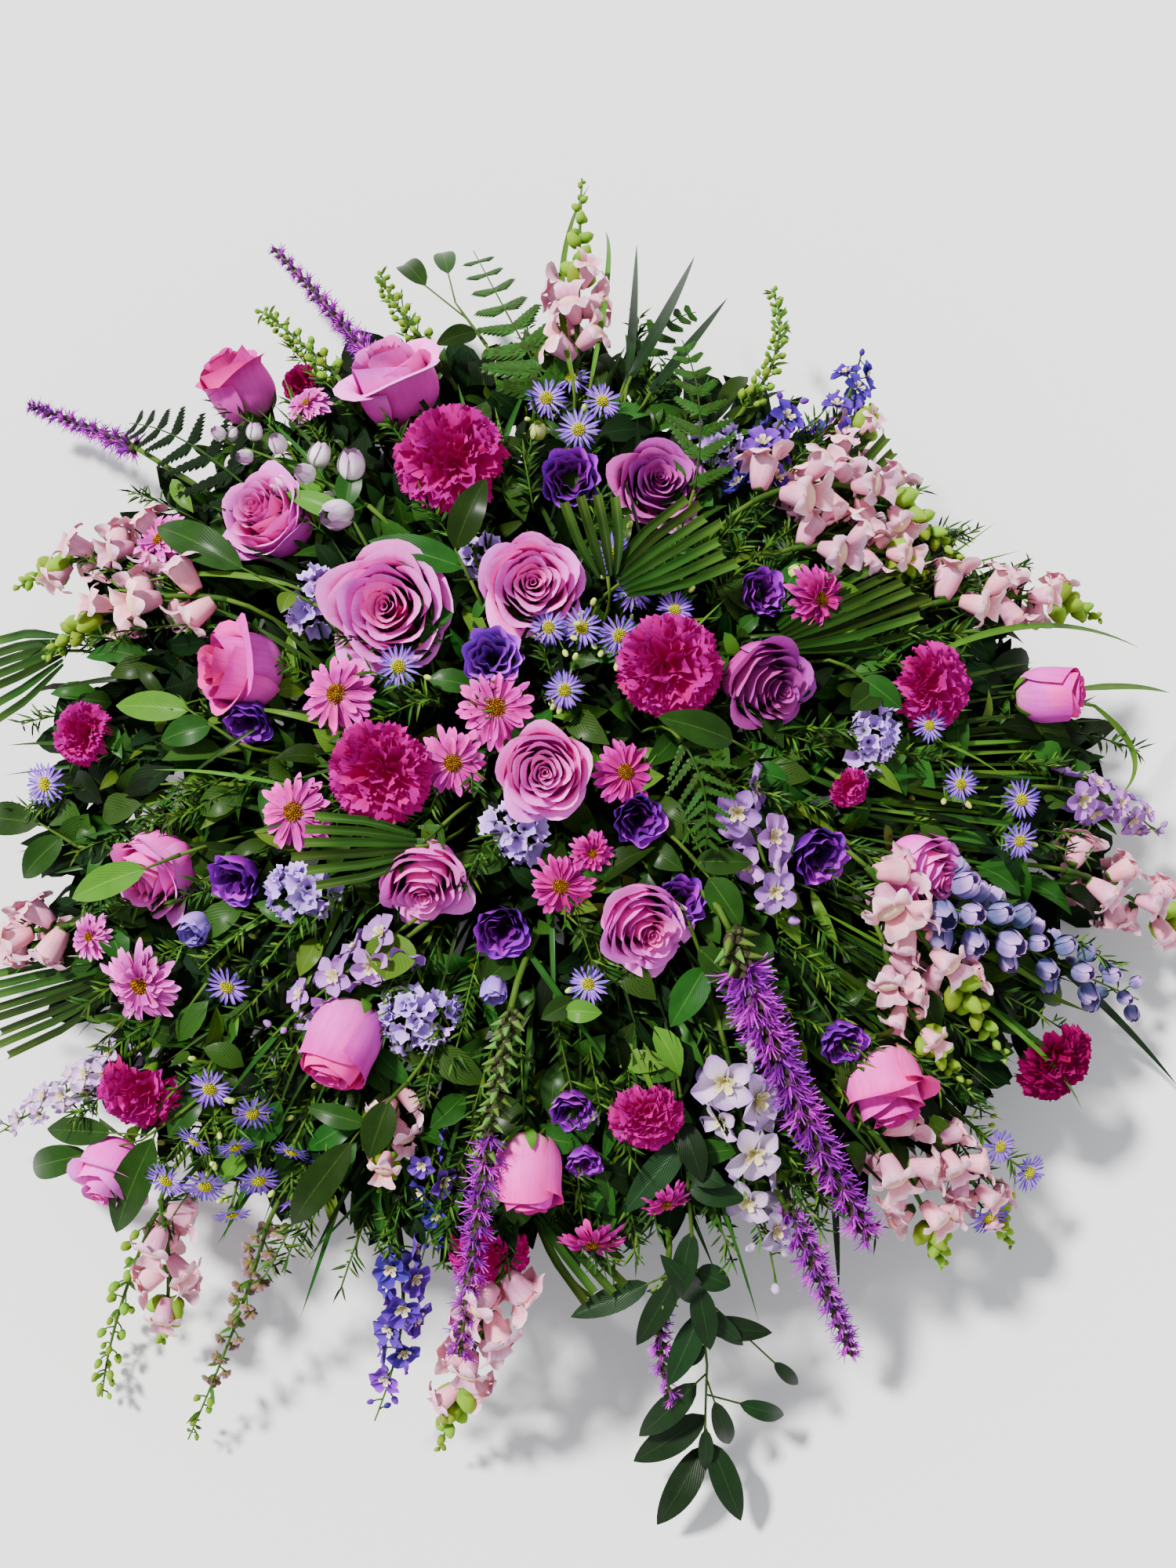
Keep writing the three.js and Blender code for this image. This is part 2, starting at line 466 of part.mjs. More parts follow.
// Leafy stems: run of places, then leaves as share of the run, tip place, lift and width
const SPRIGS = [
  { run: [[868, 1395, 0], [884, 1590, -2], [902, 1740, -6], [898, 1850, -8]],
    leaves: [[0.1, 795, 1548, 0, 40], [0.2, 950, 1530, 4, 36], [0.38, 728, 1680, -4, 34], [0.4, 932, 1640, 0, 34],
      [0.48, 842, 1600, 4, 34], [0.55, 985, 1700, -4, 30], [0.62, 845, 1735, 0, 32], [0.7, 815, 1832, -4, 36],
      [0.78, 1000, 1805, -6, 24], [0.86, 808, 1864, -6, 40], [0.9, 945, 1940, -6, 36], [1, 838, 1945, -7, 40]] },
  { run: [[620, 440, 4], [580, 385, 12]],
    leaves: [[0.6, 512, 340, 14, 30], [1, 565, 322, 18, 28], [0.3, 556, 440, 8, 30]] },
  { run: [[400, 770, 6], [330, 735, 10]], leaves: [[1, 200, 672, 16, 48], [0.4, 358, 782, 12, 24]] },
  { run: [[470, 700, 4], [440, 645, 8]], leaves: [[0.7, 365, 628, 14, 30], [1, 452, 588, 16, 34]] },
  { run: [[600, 740, 6], [580, 700, 12]], leaves: [[1, 620, 610, 30, 44], [0.4, 470, 690, 12, 44]] },
  { run: [[300, 945, 2], [240, 905, 6]], leaves: [[1, 148, 900, 10, 40], [0.5, 205, 945, 8, 40]] },
  { run: [[960, 960, 10], [935, 945, 22]], leaves: [[1, 838, 914, 34, 46]] },
  { run: [[230, 1090, 10], [185, 1108, 22]], leaves: [[1, 92, 1146, 24, 42]] },
  { run: [[520, 1380, 10], [460, 1440, 14]],
    leaves: [[1, 372, 1562, 14, 46], [0.4, 470, 1478, 18, 44], [0.9, 392, 1412, 12, 30]] },
  { run: [[230, 1420, -2], [180, 1455, 0]],
    leaves: [[1, 42, 1490, 4, 40], [0.6, 148, 1572, 8, 50], [0.8, 60, 1440, 0, 36]] },
  { run: [[880, 1180, 6], [900, 1235, 4]], leaves: [[1, 855, 1310, 6, 44], [0.5, 970, 1290, 4, 44]] },
  { run: [[520, 1180, 4], [505, 1190, 8]], leaves: [[1, 492, 1250, 12, 66]] },
  { run: [[740, 1270, 4], [720, 1290, 8]], leaves: [[1, 768, 1292, 12, 30], [0.3, 690, 1300, 10, 30]] },
  { run: [[880, 1090, 8], [905, 1120, 10]], leaves: [[1, 945, 1180, 14, 44], [0.3, 960, 1100, 12, 36]] },
  { run: [[1080, 850, 4], [1120, 880, 6]], leaves: [[1, 1085, 905, 8, 40], [0.5, 1150, 905, 8, 36]] },
  { run: [[100, 1080, -2], [50, 1050, 0]], leaves: [[1, -20, 1045, 2, 44], [0.4, 30, 1120, 2, 40]] },
];

// Low foliage under the blooms: bearing of each leafy stem, its reach, its height at the foot and at the tip
const LOW_SPRIGS = [
  [-30, 312, 66, 82], [-2, 340, 64, 76], [28, 312, 70, 86],
  [66, 262, 66, 84], [90, 290, 70, 84], [114, 262, 62, 80],
  [152, 312, 66, 82], [178, 340, 64, 76], [208, 312, 70, 86],
];
const LOW_FOOT = 150;

// Leaves along each of them: share of its length, turn from its run in degrees, rise of the tip
const LOW_LEAVES = [[0.3, 54, 6], [0.62, -50, -6], [1, 6, 2]];
const LOW_LEAF_LONG = 84;
const LOW_LEAF_HALF = 20;

// Every named piece gathers its stems, which have the right of way, and its soft parts
const pieces = new Map();
const stems = [];

function piece(name, colour, roughness = 0.6) {
  if (!pieces.has(name)) pieces.set(name, { name, colour, roughness, stems: [], parts: [] });
  return pieces.get(name);
}

// Stem of a piece; an anchor gives two points of its parent stem and the share between them where it starts
function addStem(owner, points, radii, anchor = null) {
  stems.push({ owner, points, radii, anchor, wide: Math.max(...radii.slice(0, -1), 1) });
}

// Straight run from one point to another in the space where the sag is taken out
function sagged(from, to, steps) {
  const lifted = (p) => V(p.x, p.y, p.z + SAG * (p.x * p.x + p.y * p.y));
  const [a, b] = [lifted(from), lifted(to)];
  const points = [];
  for (let k = 1; k <= steps; k += 1) {
    const p = a.clone().lerp(b, k / (steps + 1));
    p.z -= SAG * (p.x * p.x + p.y * p.y);
    points.push(p);
  }
  return points;
}

// Direction from the core to a point, with the sag taken out
function outward(p) {
  return V(p.x, p.y, p.z + SAG * (p.x * p.x + p.y * p.y)).sub(CORE).normalize();
}

// Quarter of the ring that a point lies in, for the greens
function quarter(p) {
  const turn = Math.atan2(p.y, p.x) / (0.5 * Math.PI);
  return ['right', 'back', 'left', 'front'][((Math.round(turn) % 4) + 4) % 4];
}

const QUARTER_TURN = { right: 0, back: 1, left: 2, front: 3 };
const greenKnots = {};
Object.entries(QUARTER_TURN).forEach(([name, turn]) => {
  const angle = turn * 0.5 * Math.PI;
  greenKnots[name] = V(30 * Math.cos(angle), 24 * Math.sin(angle), CORE.z - 8);
});

// Stem of a rose or carnation, from the knot of its quarter in the foam to a neck, flaring to the cup under the bloom
function greenStem(seat, neck, radius) {
  const side = quarter(neck);
  const owner = piece('greens_' + side, 0x2f5a2a);
  const knot = greenKnots[side];
  const middle = sagged(knot, neck, knot.distanceTo(neck) > 190 ? 1 : 0);
  addStem(owner, [knot, ...middle, neck, seat], [radius, ...middle.map(() => radius), radius, 2.1 * radius]);
}

ROSES.forEach((rose, k) => {
  const at = placed(rose.seen, rose.lift);
  const radius = 0.5 * rose.wide * pictureScale(at);
  const face = facing(at, rose.lean);
  const name = 'rose_' + String(k + 1).padStart(2, '0');
  piece(name, 0xc768ac).parts.push(...roseHead(at, face, radius, rose.open, 1.7 * k));
  const seat = at.clone().addScaledVector(face, -0.98 * radius - SEAT_GAP);
  const neck = seat.clone().addScaledVector(face, -24);
  greenStem(seat, neck, ROSE_STEM);
});

CARNATIONS.forEach((bloom, k) => {
  const at = placed(bloom.seen, bloom.lift);
  const radius = 0.5 * bloom.wide * pictureScale(at);
  const face = facing(at, bloom.lean);
  const name = 'carnation_' + String(k + 1).padStart(2, '0');
  piece(name, 0xb8107e).parts.push(...carnationHead(at, face, radius, 0.9 * k));
  const seat = at.clone().addScaledVector(face, -0.62 * radius - SEAT_GAP);
  const neck = seat.clone().addScaledVector(face, -26);
  greenStem(seat, neck, SPRAY_STEM);
});

// Knot of a spray or group: just outside the foam, on the mean line from the core to its blooms
function groupKnot(points, reach) {
  const mean = V(0, 0, 0);
  points.forEach((p) => mean.add(outward(p)));
  return CORE.clone().addScaledVector(mean.normalize(), reach);
}

// Foot of a group in the foam, a stem to the fork of each cluster and twigs to its blooms
function clusterStems(owner, clusters, start) {
  const forks = clusters.map((ends) => {
    const fork = V(0, 0, 0);
    ends.forEach((end) => fork.add(end.neck));
    fork.divideScalar(ends.length);
    const back = Math.min(18 + 9 * ends.length, 60);
    return fork.addScaledVector(outward(fork), ends.length > 1 ? -back : 0);
  });
  const knot = groupKnot(forks, 116);
  const foot = CORE.clone().lerp(knot, 0.42);
  forks.forEach((fork, k) => {
    const middle = sagged(knot, fork, 1);
    const way = [...middle, fork, clusters[k][0].at];
    const radii = way.map((point, step) => (step + 1 < way.length ? start : TWIG));
    const root = k === 0 ? knot : knot.clone();
    if (k === 0) addStem(owner, [foot, root, ...way], [start, start, ...radii]);
    else addStem(owner, [root, ...way], [start, ...radii], [foot, knot, 0.35 + 0.5 * k / forks.length]);
    const low = middle[0] ?? root;
    clusters[k].slice(1).forEach((end, n) => {
      const share = 1 - 0.32 * (n + 1) / clusters[k].length;
      addStem(owner, [low.clone().lerp(fork, share), end.at], [TWIG, TWIG], [low, fork, share]);
    });
  });
}

function headGroup(name, colour, clusters, build, drop) {
  const owner = piece(name, colour);
  let count = 0;
  const ends = clusters.map((cluster) => cluster.map((bloom) => {
    const at = placed(bloom.seen, bloom.lift);
    const radius = 0.5 * bloom.wide * pictureScale(at);
    const face = facing(at, bloom.lean);
    count += 1;
    owner.parts.push(...build(at, face, radius, count));
    const end = at.clone().addScaledVector(face, -drop * radius + (drop > 0 ? 1.6 : 0));
    return { at: end, neck: end.clone().addScaledVector(face, -15) };
  }));
  clusterStems(owner, ends, SPRAY_STEM);
}

const bloomsOf = (clusters, lift) => clusters.map((rows) => rows.map((r) => (
  { seen: [r[0], r[1]], wide: r[2], lean: [r[3], r[4]], lift })));
Object.entries(LISIANTHUS).forEach(([group, clusters]) => {
  headGroup('lisianthus_' + group, 0x5a2aa0, bloomsOf(clusters, 2), cupHead, 0.95);
});
Object.entries(MUMS).forEach(([group, clusters]) => {
  const star = (at, face, r, k) => starHead(at, face, r, 7, k);
  headGroup('mums_' + group, 0xd884c4, bloomsOf(clusters, 4), star, 0);
});
Object.entries(ASTERS).forEach(([group, clusters]) => {
  const star = (at, face, r, k) => starHead(at, face, r, 6, k);
  headGroup('asters_' + group, 0x8a78dc, bloomsOf(clusters, 6), star, 0);
});

// Statice: papery tufts packed on the ends of short twigs
Object.entries(STATICE).forEach(([group, clusters]) => {
  const tufts = (at, face, half, k) => {
    const frame = bloomFrame(at, face, k);
    const rows = [[0, -0.6, 0], [0.8, 0.05, 0.2], [0.55, 0.5, -0.3], [0, 0.3, 0]];
    return [layered(frame, rows.map((row) => [row[0] * half, row[1] * half, row[2]]), 8)];
  };
  headGroup('statice_' + group, 0xb9a9e6, bloomsOf(clusters, -4), tufts, 0.5);
});

// Spikes of florets in groups that share a foot
function spikeGroup(name, colour, rows, tiers, dip) {
  const owner = piece(name, colour);
  const necks = [];
  const seats = [];
  rows.forEach((row) => {
    const points = [placed([row[0], row[1]], row[2]), placed([row[3], row[4]], row[5]), placed([row[6], row[7]], row[8])];
    const half = 0.5 * row[9] * pictureScale(points[1]);
    owner.parts.push(cob(points, half, tiers, dip));
    necks.push(points[0]);
    seats.push(points[0].clone().lerp(points[1], 0.25));
  });
  const knot = groupKnot(necks, 112);
  const foot = CORE.clone().lerp(knot, 0.42);
  necks.forEach((neck, k) => {
    const way = [...sagged(knot, neck, 1), neck, seats[k]];
    const radii = way.map((point, step) => (step + 1 < way.length ? 1.8 : 1.2));
    if (k === 0) addStem(owner, [foot, knot, ...way], [2.1, 2, ...radii]);
    else addStem(owner, [knot.clone(), ...way], [1.8, ...radii], [foot, knot, 0.35 + 0.5 * k / necks.length]);
  });
}

Object.entries(SNAPDRAGONS).forEach(([group, rows]) => {
  spikeGroup('snapdragons_' + group, 0xeec4cf, rows, 5, 0.36);
});
Object.entries(LARKSPURS).forEach(([group, rows]) => {
  spikeGroup('larkspurs_' + group, 0x9c93d8, rows, 5, 0.26);
});
Object.entries(LIATRIS).forEach(([group, rows]) => {
  spikeGroup('liatris_' + group, 0x9a35c4, rows, 7, 0.5);
});

// Greens of each quarter: fronds, fans, blades and leafy stems on the knots of the rose stems
function threePlaces(row) {
  return [placed([row[0], row[1]], row[2]), placed([row[3], row[4]], row[5]), placed([row[6], row[7]], row[8])];
}

const hangers = [];
function hang(points, stemEnd, build) {
  const owner = piece('greens_' + quarter(points[0]), 0x2f5a2a);
  hangers.push({ owner, root: points[0], stemEnd, build });
}

FERNS.forEach((row) => {
  const points = threePlaces(row);
  const half = 0.5 * row[9] * pictureScale(points[1]);
  hang(points, points[0].clone().lerp(points[1], 0.3), () => [fernBlade(points, 3, half)]);
});
PALMS.forEach((row) => {
  const points = threePlaces(row);
  const half = 0.5 * row[9] * pictureScale(points[1]);
  hang(points, points[0].clone().lerp(points[2], 0.12), () => [palmFan(points, 4, half)]);
});
BLADES.forEach((row) => {
  const points = threePlaces(row);
  const half = 0.5 * row[9] * pictureScale(points[1]);
  const run = points[2].clone().sub(points[0]);
  const across = run.clone().cross(V(0, 0, 1)).normalize();
  const flat = across.clone().cross(run).normalize();
  const rows = [{ at: points[1], half: across.clone().multiplyScalar(half), flat }];
  hang(points, points[0].clone().lerp(points[1], 0.15), () => [blade(points[0], rows, points[2], 1.0)]);
});
SPRIGS.forEach((sprig) => {
  const points = sprig.run.map((p) => placed([p[0], p[1]], p[2]));
  const leaves = () => sprig.leaves.map((leaf) => {
    const root = along(points, Math.min(leaf[0], 0.98));
    const tip = placed([leaf[1], leaf[2]], leaf[3]);
    return broadLeaf(root, tip, 0.5 * leaf[4] * pictureScale(tip));
  });
  hang(points, points[0], () => [tube(points, points.map(() => 1.2)), ...leaves()]);
});

LOW_SPRIGS.forEach(([bearing, reach, foot, end]) => {
  const around = (turn) => {
    const angle = THREE.MathUtils.degToRad(bearing + turn);
    return V(Math.cos(angle), Math.sin(angle), 0);
  };
  const at = (far, height) => around(0).multiplyScalar(far).setZ(height);
  const points = [at(LOW_FOOT, foot), at(reach - LOW_LEAF_LONG, end)];
  const leaves = () => LOW_LEAVES.map(([share, turn, rise]) => {
    const root = points[0].clone().lerp(points[1], Math.min(share, 0.98));
    const tip = root.clone().addScaledVector(around(turn), LOW_LEAF_LONG);
    return broadLeaf(root, tip.setZ(tip.z + rise), LOW_LEAF_HALF);
  });
  hang(points, points[0], () => [tube(points, points.map(() => 1.3)), ...leaves()]);
});

// Nearest points of two straight pieces of stem, as shares of their lengths
function nearest(p, q, r, s) {
  const d1 = q.clone().sub(p);
  const d2 = s.clone().sub(r);
  const w = p.clone().sub(r);
  const [a, b, c, d, e] = [d1.dot(d1), d1.dot(d2), d2.dot(d2), d1.dot(w), d2.dot(w)];
  const span = a * c - b * b;
  let first = span > 1e-9 ? THREE.MathUtils.clamp((b * e - c * d) / span, 0, 1) : 0;
  const second = THREE.MathUtils.clamp((b * first + e) / c, 0, 1);
  first = THREE.MathUtils.clamp((b * second - d) / a, 0, 1);
  return [first, second];
}

// Gap that is missing between two spans of stem, and where it is missing
function crowding(one, two, gap) {
  const need = one.wide + two.wide + gap;
  const dx = one.p.x + one.q.x - two.p.x - two.q.x;
  const dy = one.p.y + one.q.y - two.p.y - two.q.y;
  const dz = one.p.z + one.q.z - two.p.z - two.q.z;
  const reach = one.long + two.long + 2 * need + 12;
  if (dx * dx + dy * dy + dz * dz > reach * reach) return null;
  const [s, t] = nearest(one.p, one.q, two.p, two.q);
  const away = one.p.clone().lerp(one.q, s).sub(two.p.clone().lerp(two.q, t));
  const near = away.length();
  return near < need ? { s, t, away, miss: need - near, near } : null;
}

function stemSpans() {
  const spans = [];
  stems.forEach((stem) => {
    for (let k = 0; k + 1 < stem.points.length; k += 1) {
      const [p, q] = [stem.points[k], stem.points[k + 1]];
      spans.push({ owner: stem.owner, p, q, wide: stem.wide, long: p.distanceTo(q) });
    }
  });
  return spans;
}

// Stems of different pieces are bent clear of each other by pushing their middles apart
function settleStems(rounds, gap) {
  const held = new Set();
  stems.forEach((stem) => {
    held.add(stem.points[stem.points.length - 1]);
    if (stem.anchor) held.add(stem.points[0]);
  });
  Object.values(greenKnots).forEach((knot) => held.add(knot));
  const spans = stemSpans();
  const push = (point, share, away) => {
    if (held.has(point)) return;
    point.addScaledVector(away, share);
    point.z = Math.max(point.z, 12);
  };
  for (let round = 0; round < rounds; round += 1) {
    let moved = 0;
    for (let i = 0; i < spans.length; i += 1) {
      for (let j = i + 1; j < spans.length; j += 1) {
        if (spans[i].owner === spans[j].owner) continue;
        const crowd = crowding(spans[i], spans[j], gap);
        if (!crowd) continue;
        if (crowd.near < 1e-6) crowd.away.set(0, 0, 1);
        const away = crowd.away.normalize().multiplyScalar(0.35 * crowd.miss + 0.05);
        push(spans[i].p, 1.2 - crowd.s, away);
        push(spans[i].q, crowd.s + 0.2, away);
        away.negate();
        push(spans[j].p, 1.2 - crowd.t, away);
        push(spans[j].q, crowd.t + 0.2, away);
        moved += 1;
      }
    }
    if (moved === 0) break;
  }
}

settleStems(160, 1.6);
stems.filter((stem) => stem.anchor).forEach((stem) => {
  const [from, to, share] = stem.anchor;
  stem.points[0].copy(from.clone().lerp(to, share));
});

// Leaves hang on the nearest rose or carnation stem of their quarter that a free twig reaches
const settled = stemSpans();
hangers.forEach((hanger) => {
  const options = [];
  settled.filter((span) => span.owner === hanger.owner).forEach((span) => {
    [0.15, 0.5, 0.85].forEach((share) => {
      const from = span.p.clone().lerp(span.q, share);
      if (from.distanceTo(CORE) > 105) options.push({ from, far: from.distanceTo(hanger.root) });
    });
  });
  options.sort((a, b) => a.far - b.far);
  const free = options.find((option) => {
    const twig = { p: option.from, q: hanger.root, wide: 1.3, long: option.far };
    return settled.every((span) => span.owner === hanger.owner || !crowding(twig, span, 0.8));
  }) ?? options[0];
  hanger.owner.stems.push(tube([free.from, hanger.stemEnd], [1.3, 1.2]));
  hanger.owner.parts.push(...hanger.build());
});

// Knots of the greens are short blocks of packed stem ends inside the foam
Object.entries(greenKnots).forEach(([side, knot]) => {
  const block = new THREE.BoxGeometry(20, 20, 20);
  block.translate(knot.x, knot.y, knot.z);
  piece('greens_' + side, 0x2f5a2a).stems.push(closedGeometry(block));
});

// Join, cut and keep: stems have the right of way, then pieces in the order they were added
const SWELL = 0.4;
const TRIM = 0.08;
const GREEN_TRIM = 0.2;
stems.forEach((stem) => {
  stem.owner.stems.push(tube(stem.points, stem.radii));
});

const order = [...pieces.values()].sort((a, b) => Number(a.name.startsWith('greens')) - Number(b.name.startsWith('greens')));
const union = (list) => Manifold.union(list);
const swollen = (geometry) => [solidOf(geometry), solidOf(geometry, SWELL)];
order.forEach((item) => {
  item.stemSolid = item.stems.length ? union(item.stems.map((g) => solidOf(g))) : null;
  item.stemCutter = item.stems.length ? union(item.stems.map((g) => solidOf(g, SWELL))) : null;
  item.partCutter = union(item.parts.flatMap(swollen));
});
const largest = (solid) => {
  const bodies = solid.decompose();
  return bodies.reduce((best, body) => (body.volume() > best.volume() ? body : best));
};
let stemsSoFar = null;
order.forEach((item) => {
  if (!item.stemSolid) return;
  if (stemsSoFar) item.stemSolid = item.stemSolid.subtract(stemsSoFar);
  stemsSoFar = stemsSoFar ? union([stemsSoFar, item.stemCutter]) : item.stemCutter;
});
const group = new THREE.Group();
group.name = 'cascading_bouquet';

function addMesh(name, solid, colour, roughness) {
  const data = solid.getMesh();
  const geometry = new THREE.BufferGeometry();
  geometry.setAttribute('position', new THREE.BufferAttribute(new Float32Array(data.vertProperties), 3));
  geometry.setIndex(new THREE.BufferAttribute(new Uint32Array(data.triVerts), 1));
  const flat = geometry.toNonIndexed();
  flat.computeVertexNormals();
  const mesh = new THREE.Mesh(flat, new THREE.MeshStandardMaterial({ color: colour, roughness, metalness: 0 }));
  mesh.name = name;
  group.add(mesh);
}

// Tray with a flat underside, and the foam that stands in it with a plain hole for each stem
const box = (x, y, low, high) => {
  const geometry = new THREE.BoxGeometry(x, y, high - low);
  geometry.translate(0, 0, 0.5 * (low + high));
  return solidOf(closedGeometry(geometry));
};
const tray = box(TRAY_LENGTH, TRAY_WIDTH, 0, TRAY_HEIGHT)
  .subtract(box(TRAY_LENGTH - 2 * TRAY_WALL, TRAY_WIDTH - 2 * TRAY_WALL, TRAY_WALL, TRAY_HEIGHT + 5));
const foamBlock = box(FOAM_LENGTH, FOAM_WIDTH, TRAY_WALL + FIT_GAP, FOAM_TOP);
const foam = largest(foamBlock.subtract(stemsSoFar)).simplify(0.1);
addMesh('tray', tray, 0x20302a, 0.5);
addMesh('foam', foam, 0x3c5c3c, 0.9);

const holderCutter = box(TRAY_LENGTH + 0.7, TRAY_WIDTH + 0.7, -1, TRAY_HEIGHT + FIT_GAP)
  .add(box(FOAM_LENGTH + 0.7, FOAM_WIDTH + 0.7, 1, FOAM_TOP + FIT_GAP));
let partsSoFar = holderCutter;
const meets = (one, two) => ['min', 'max'].every((end) => one[end].every((value, axis) => (
  end === 'min' ? value < two.max[axis] : value > two.min[axis])));
order.forEach((item) => {
  let soft = union(item.parts.map((g) => solidOf(g)));
  const room = soft.boundingBox();
  const cutters = order.filter((other) => other !== item && other.stemCutter).map((other) => other.stemCutter);
  const near = cutters.filter((cutter) => meets(cutter.boundingBox(), room));
  soft = soft.subtract(union([...near, partsSoFar]));
  const whole = item.stemSolid ? item.stemSolid.add(soft) : soft;
  const trim = item.name.startsWith('greens') ? GREEN_TRIM : TRIM;
  addMesh(item.name, largest(largest(whole).simplify(trim)), item.colour, item.roughness);
  partsSoFar = union([partsSoFar, item.partCutter]);
});

export default group;
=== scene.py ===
# Cascading bouquet: roses, carnations, sprays, flower spikes and greens set in floral foam in a low tray.
# Each bloom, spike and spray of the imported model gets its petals, florets, leaves and finish here, in its place.
from math import cos, pi, radians, sin

import bmesh
import bpy
import numpy as np
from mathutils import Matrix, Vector


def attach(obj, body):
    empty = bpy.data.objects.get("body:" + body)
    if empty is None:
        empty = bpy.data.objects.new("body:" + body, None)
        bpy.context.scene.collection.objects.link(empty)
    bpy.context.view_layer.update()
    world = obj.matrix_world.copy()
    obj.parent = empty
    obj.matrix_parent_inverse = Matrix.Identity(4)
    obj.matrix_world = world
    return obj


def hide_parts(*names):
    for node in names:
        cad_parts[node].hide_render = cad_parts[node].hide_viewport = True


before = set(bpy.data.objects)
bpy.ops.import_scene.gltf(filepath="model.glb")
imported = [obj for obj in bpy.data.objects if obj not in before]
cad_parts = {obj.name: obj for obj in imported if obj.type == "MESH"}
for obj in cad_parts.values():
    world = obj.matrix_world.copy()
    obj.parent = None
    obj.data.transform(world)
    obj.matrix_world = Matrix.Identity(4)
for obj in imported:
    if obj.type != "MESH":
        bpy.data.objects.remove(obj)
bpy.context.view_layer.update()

# Eye, light and floor: the bouquet lies face up and is looked down on from 78 degrees.
# A soft key light comes from the upper left of the picture, and the floor is a sheet of pale paper.
LENS = 2144.5
MIDDLE_U, MIDDLE_V = 750.0, 1000.0
LOOK = np.array([0.0, cos(radians(78)), -sin(radians(78))])
RIGHT = np.array([1.0, 0.0, 0.0])
UP = np.array([0.0, sin(radians(78)), cos(radians(78))])
EYE = np.array([28.0, -27.0, 110.0]) - 1120.0 * LOOK


def stand(name, data, place=(0, 0, 0), turn=(0, 0, 0)):
    """A new object of the scene, placed and turned."""
    made = bpy.data.objects.new(name, data)
    made.location, made.rotation_euler = place, turn
    bpy.context.scene.collection.objects.link(made)
    return made


eye_data = bpy.data.cameras.new("eye")
eye_data.sensor_fit = "VERTICAL"
eye_data.sensor_height = 24.0
eye_data.lens = 24.0 * LENS / 2000.0
eye_data.clip_start = 0.05
bpy.context.scene.camera = stand("eye", eye_data, EYE / 1000.0, (radians(12), 0.0, 0.0))
key_data = bpy.data.lights.new("key", "SUN")
key_data.energy = 8.0
key_data.angle = radians(7)
key_data.color = (1.0, 0.97, 0.93)
stand("key", key_data, turn=Vector((0.52, -0.42, -0.86)).to_track_quat("-Z", "Y").to_euler())
sky = bpy.data.worlds.new("studio air")
sky.use_nodes = True
sky.node_tree.nodes["Background"].inputs["Color"].default_value = (0.93, 0.96, 1.0, 1.0)
sky.node_tree.nodes["Background"].inputs["Strength"].default_value = 0.8
bpy.context.scene.world = sky
floor_mesh = bpy.data.meshes.new("floor")
floor_mesh.from_pydata([(x, y, -0.0005) for x, y in ((-3, -3), (3, -3), (3, 3), (-3, 3))], [], [(0, 1, 2, 3)])
paper = bpy.data.materials.new("pale paper")
paper.use_nodes = True
paper.node_tree.nodes["Principled BSDF"].inputs["Roughness"].default_value = 0.95
paper.node_tree.nodes["Principled BSDF"].inputs["Base Color"].default_value = (0.93, 0.93, 0.94, 1.0)
floor_mesh.materials.append(paper)
stand("floor", floor_mesh)

# Tray and foam: a low moulded plastic tray and the wet open-celled block that stands in it.
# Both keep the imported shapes; only their finish is made here.


def fill(tree, node, inputs):
    """Sets a node's inputs by name or number: a socket is linked to the input, all else is its value."""
    for socket, value in inputs.items():
        if isinstance(value, bpy.types.NodeSocket):
            tree.links.new(value, node.inputs[socket])
        else:
            node.inputs[socket].default_value = value


def put(tree, kind, inputs, **settings):
    """Adds a shader node with its settings, fills its inputs and returns it."""
    made = tree.nodes.new("ShaderNode" + kind)
    for name, value in settings.items():
        setattr(made, name, value)
    fill(tree, made, inputs)
    return made


def blend(tree, share, low, high):
    """Colour that goes from low to high with share."""
    return put(tree, "Mix", {0: share, 6: low, 7: high}, data_type="RGBA").outputs[2]


def mottled(tree, scale, detail):
    """Noise in Object coordinates."""
    place = put(tree, "TexCoord", {}).outputs["Object"]
    return put(tree, "TexNoise", {"Vector": place, "Scale": scale, "Detail": detail}).outputs["Fac"]


def finish(name, lift, distance, make, **constants):
    """Material whose colour and height sockets come from make(tree); the height lifts its surface."""
    made = bpy.data.materials.new(name)
    made.use_nodes = True
    tree = made.node_tree
    colour, height = make(tree)
    bump = put(tree, "Bump", {"Strength": lift, "Distance": distance, "Height": height}).outputs[0]
    named = {key.replace("_", " "): value for key, value in constants.items()}
    fill(tree, tree.nodes["Principled BSDF"], {"Base Color": colour, "Normal": bump, **named})
    return made


def cellular(low, high, scale):
    """Two colours mixed by noise, which is the height too."""
    def make(tree):
        """Colour and height sockets."""
        noise = mottled(tree, scale, 4.0)
        return blend(tree, noise, (*low, 1.0), (*high, 1.0)), noise
    return make


for node, name, rough, lift, make in (
    ("tray", "moulded green plastic", 0.45, 0.08, cellular((0.012, 0.03, 0.02), (0.02, 0.045, 0.03), 180.0)),
    ("foam", "wet floral foam", 0.95, 0.7, cellular((0.01, 0.04, 0.012), (0.03, 0.09, 0.03), 700.0)),
):
    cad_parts[node].data.materials.clear()
    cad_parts[node].data.materials.append(finish(name, lift, 0.001, make, Roughness=rough))

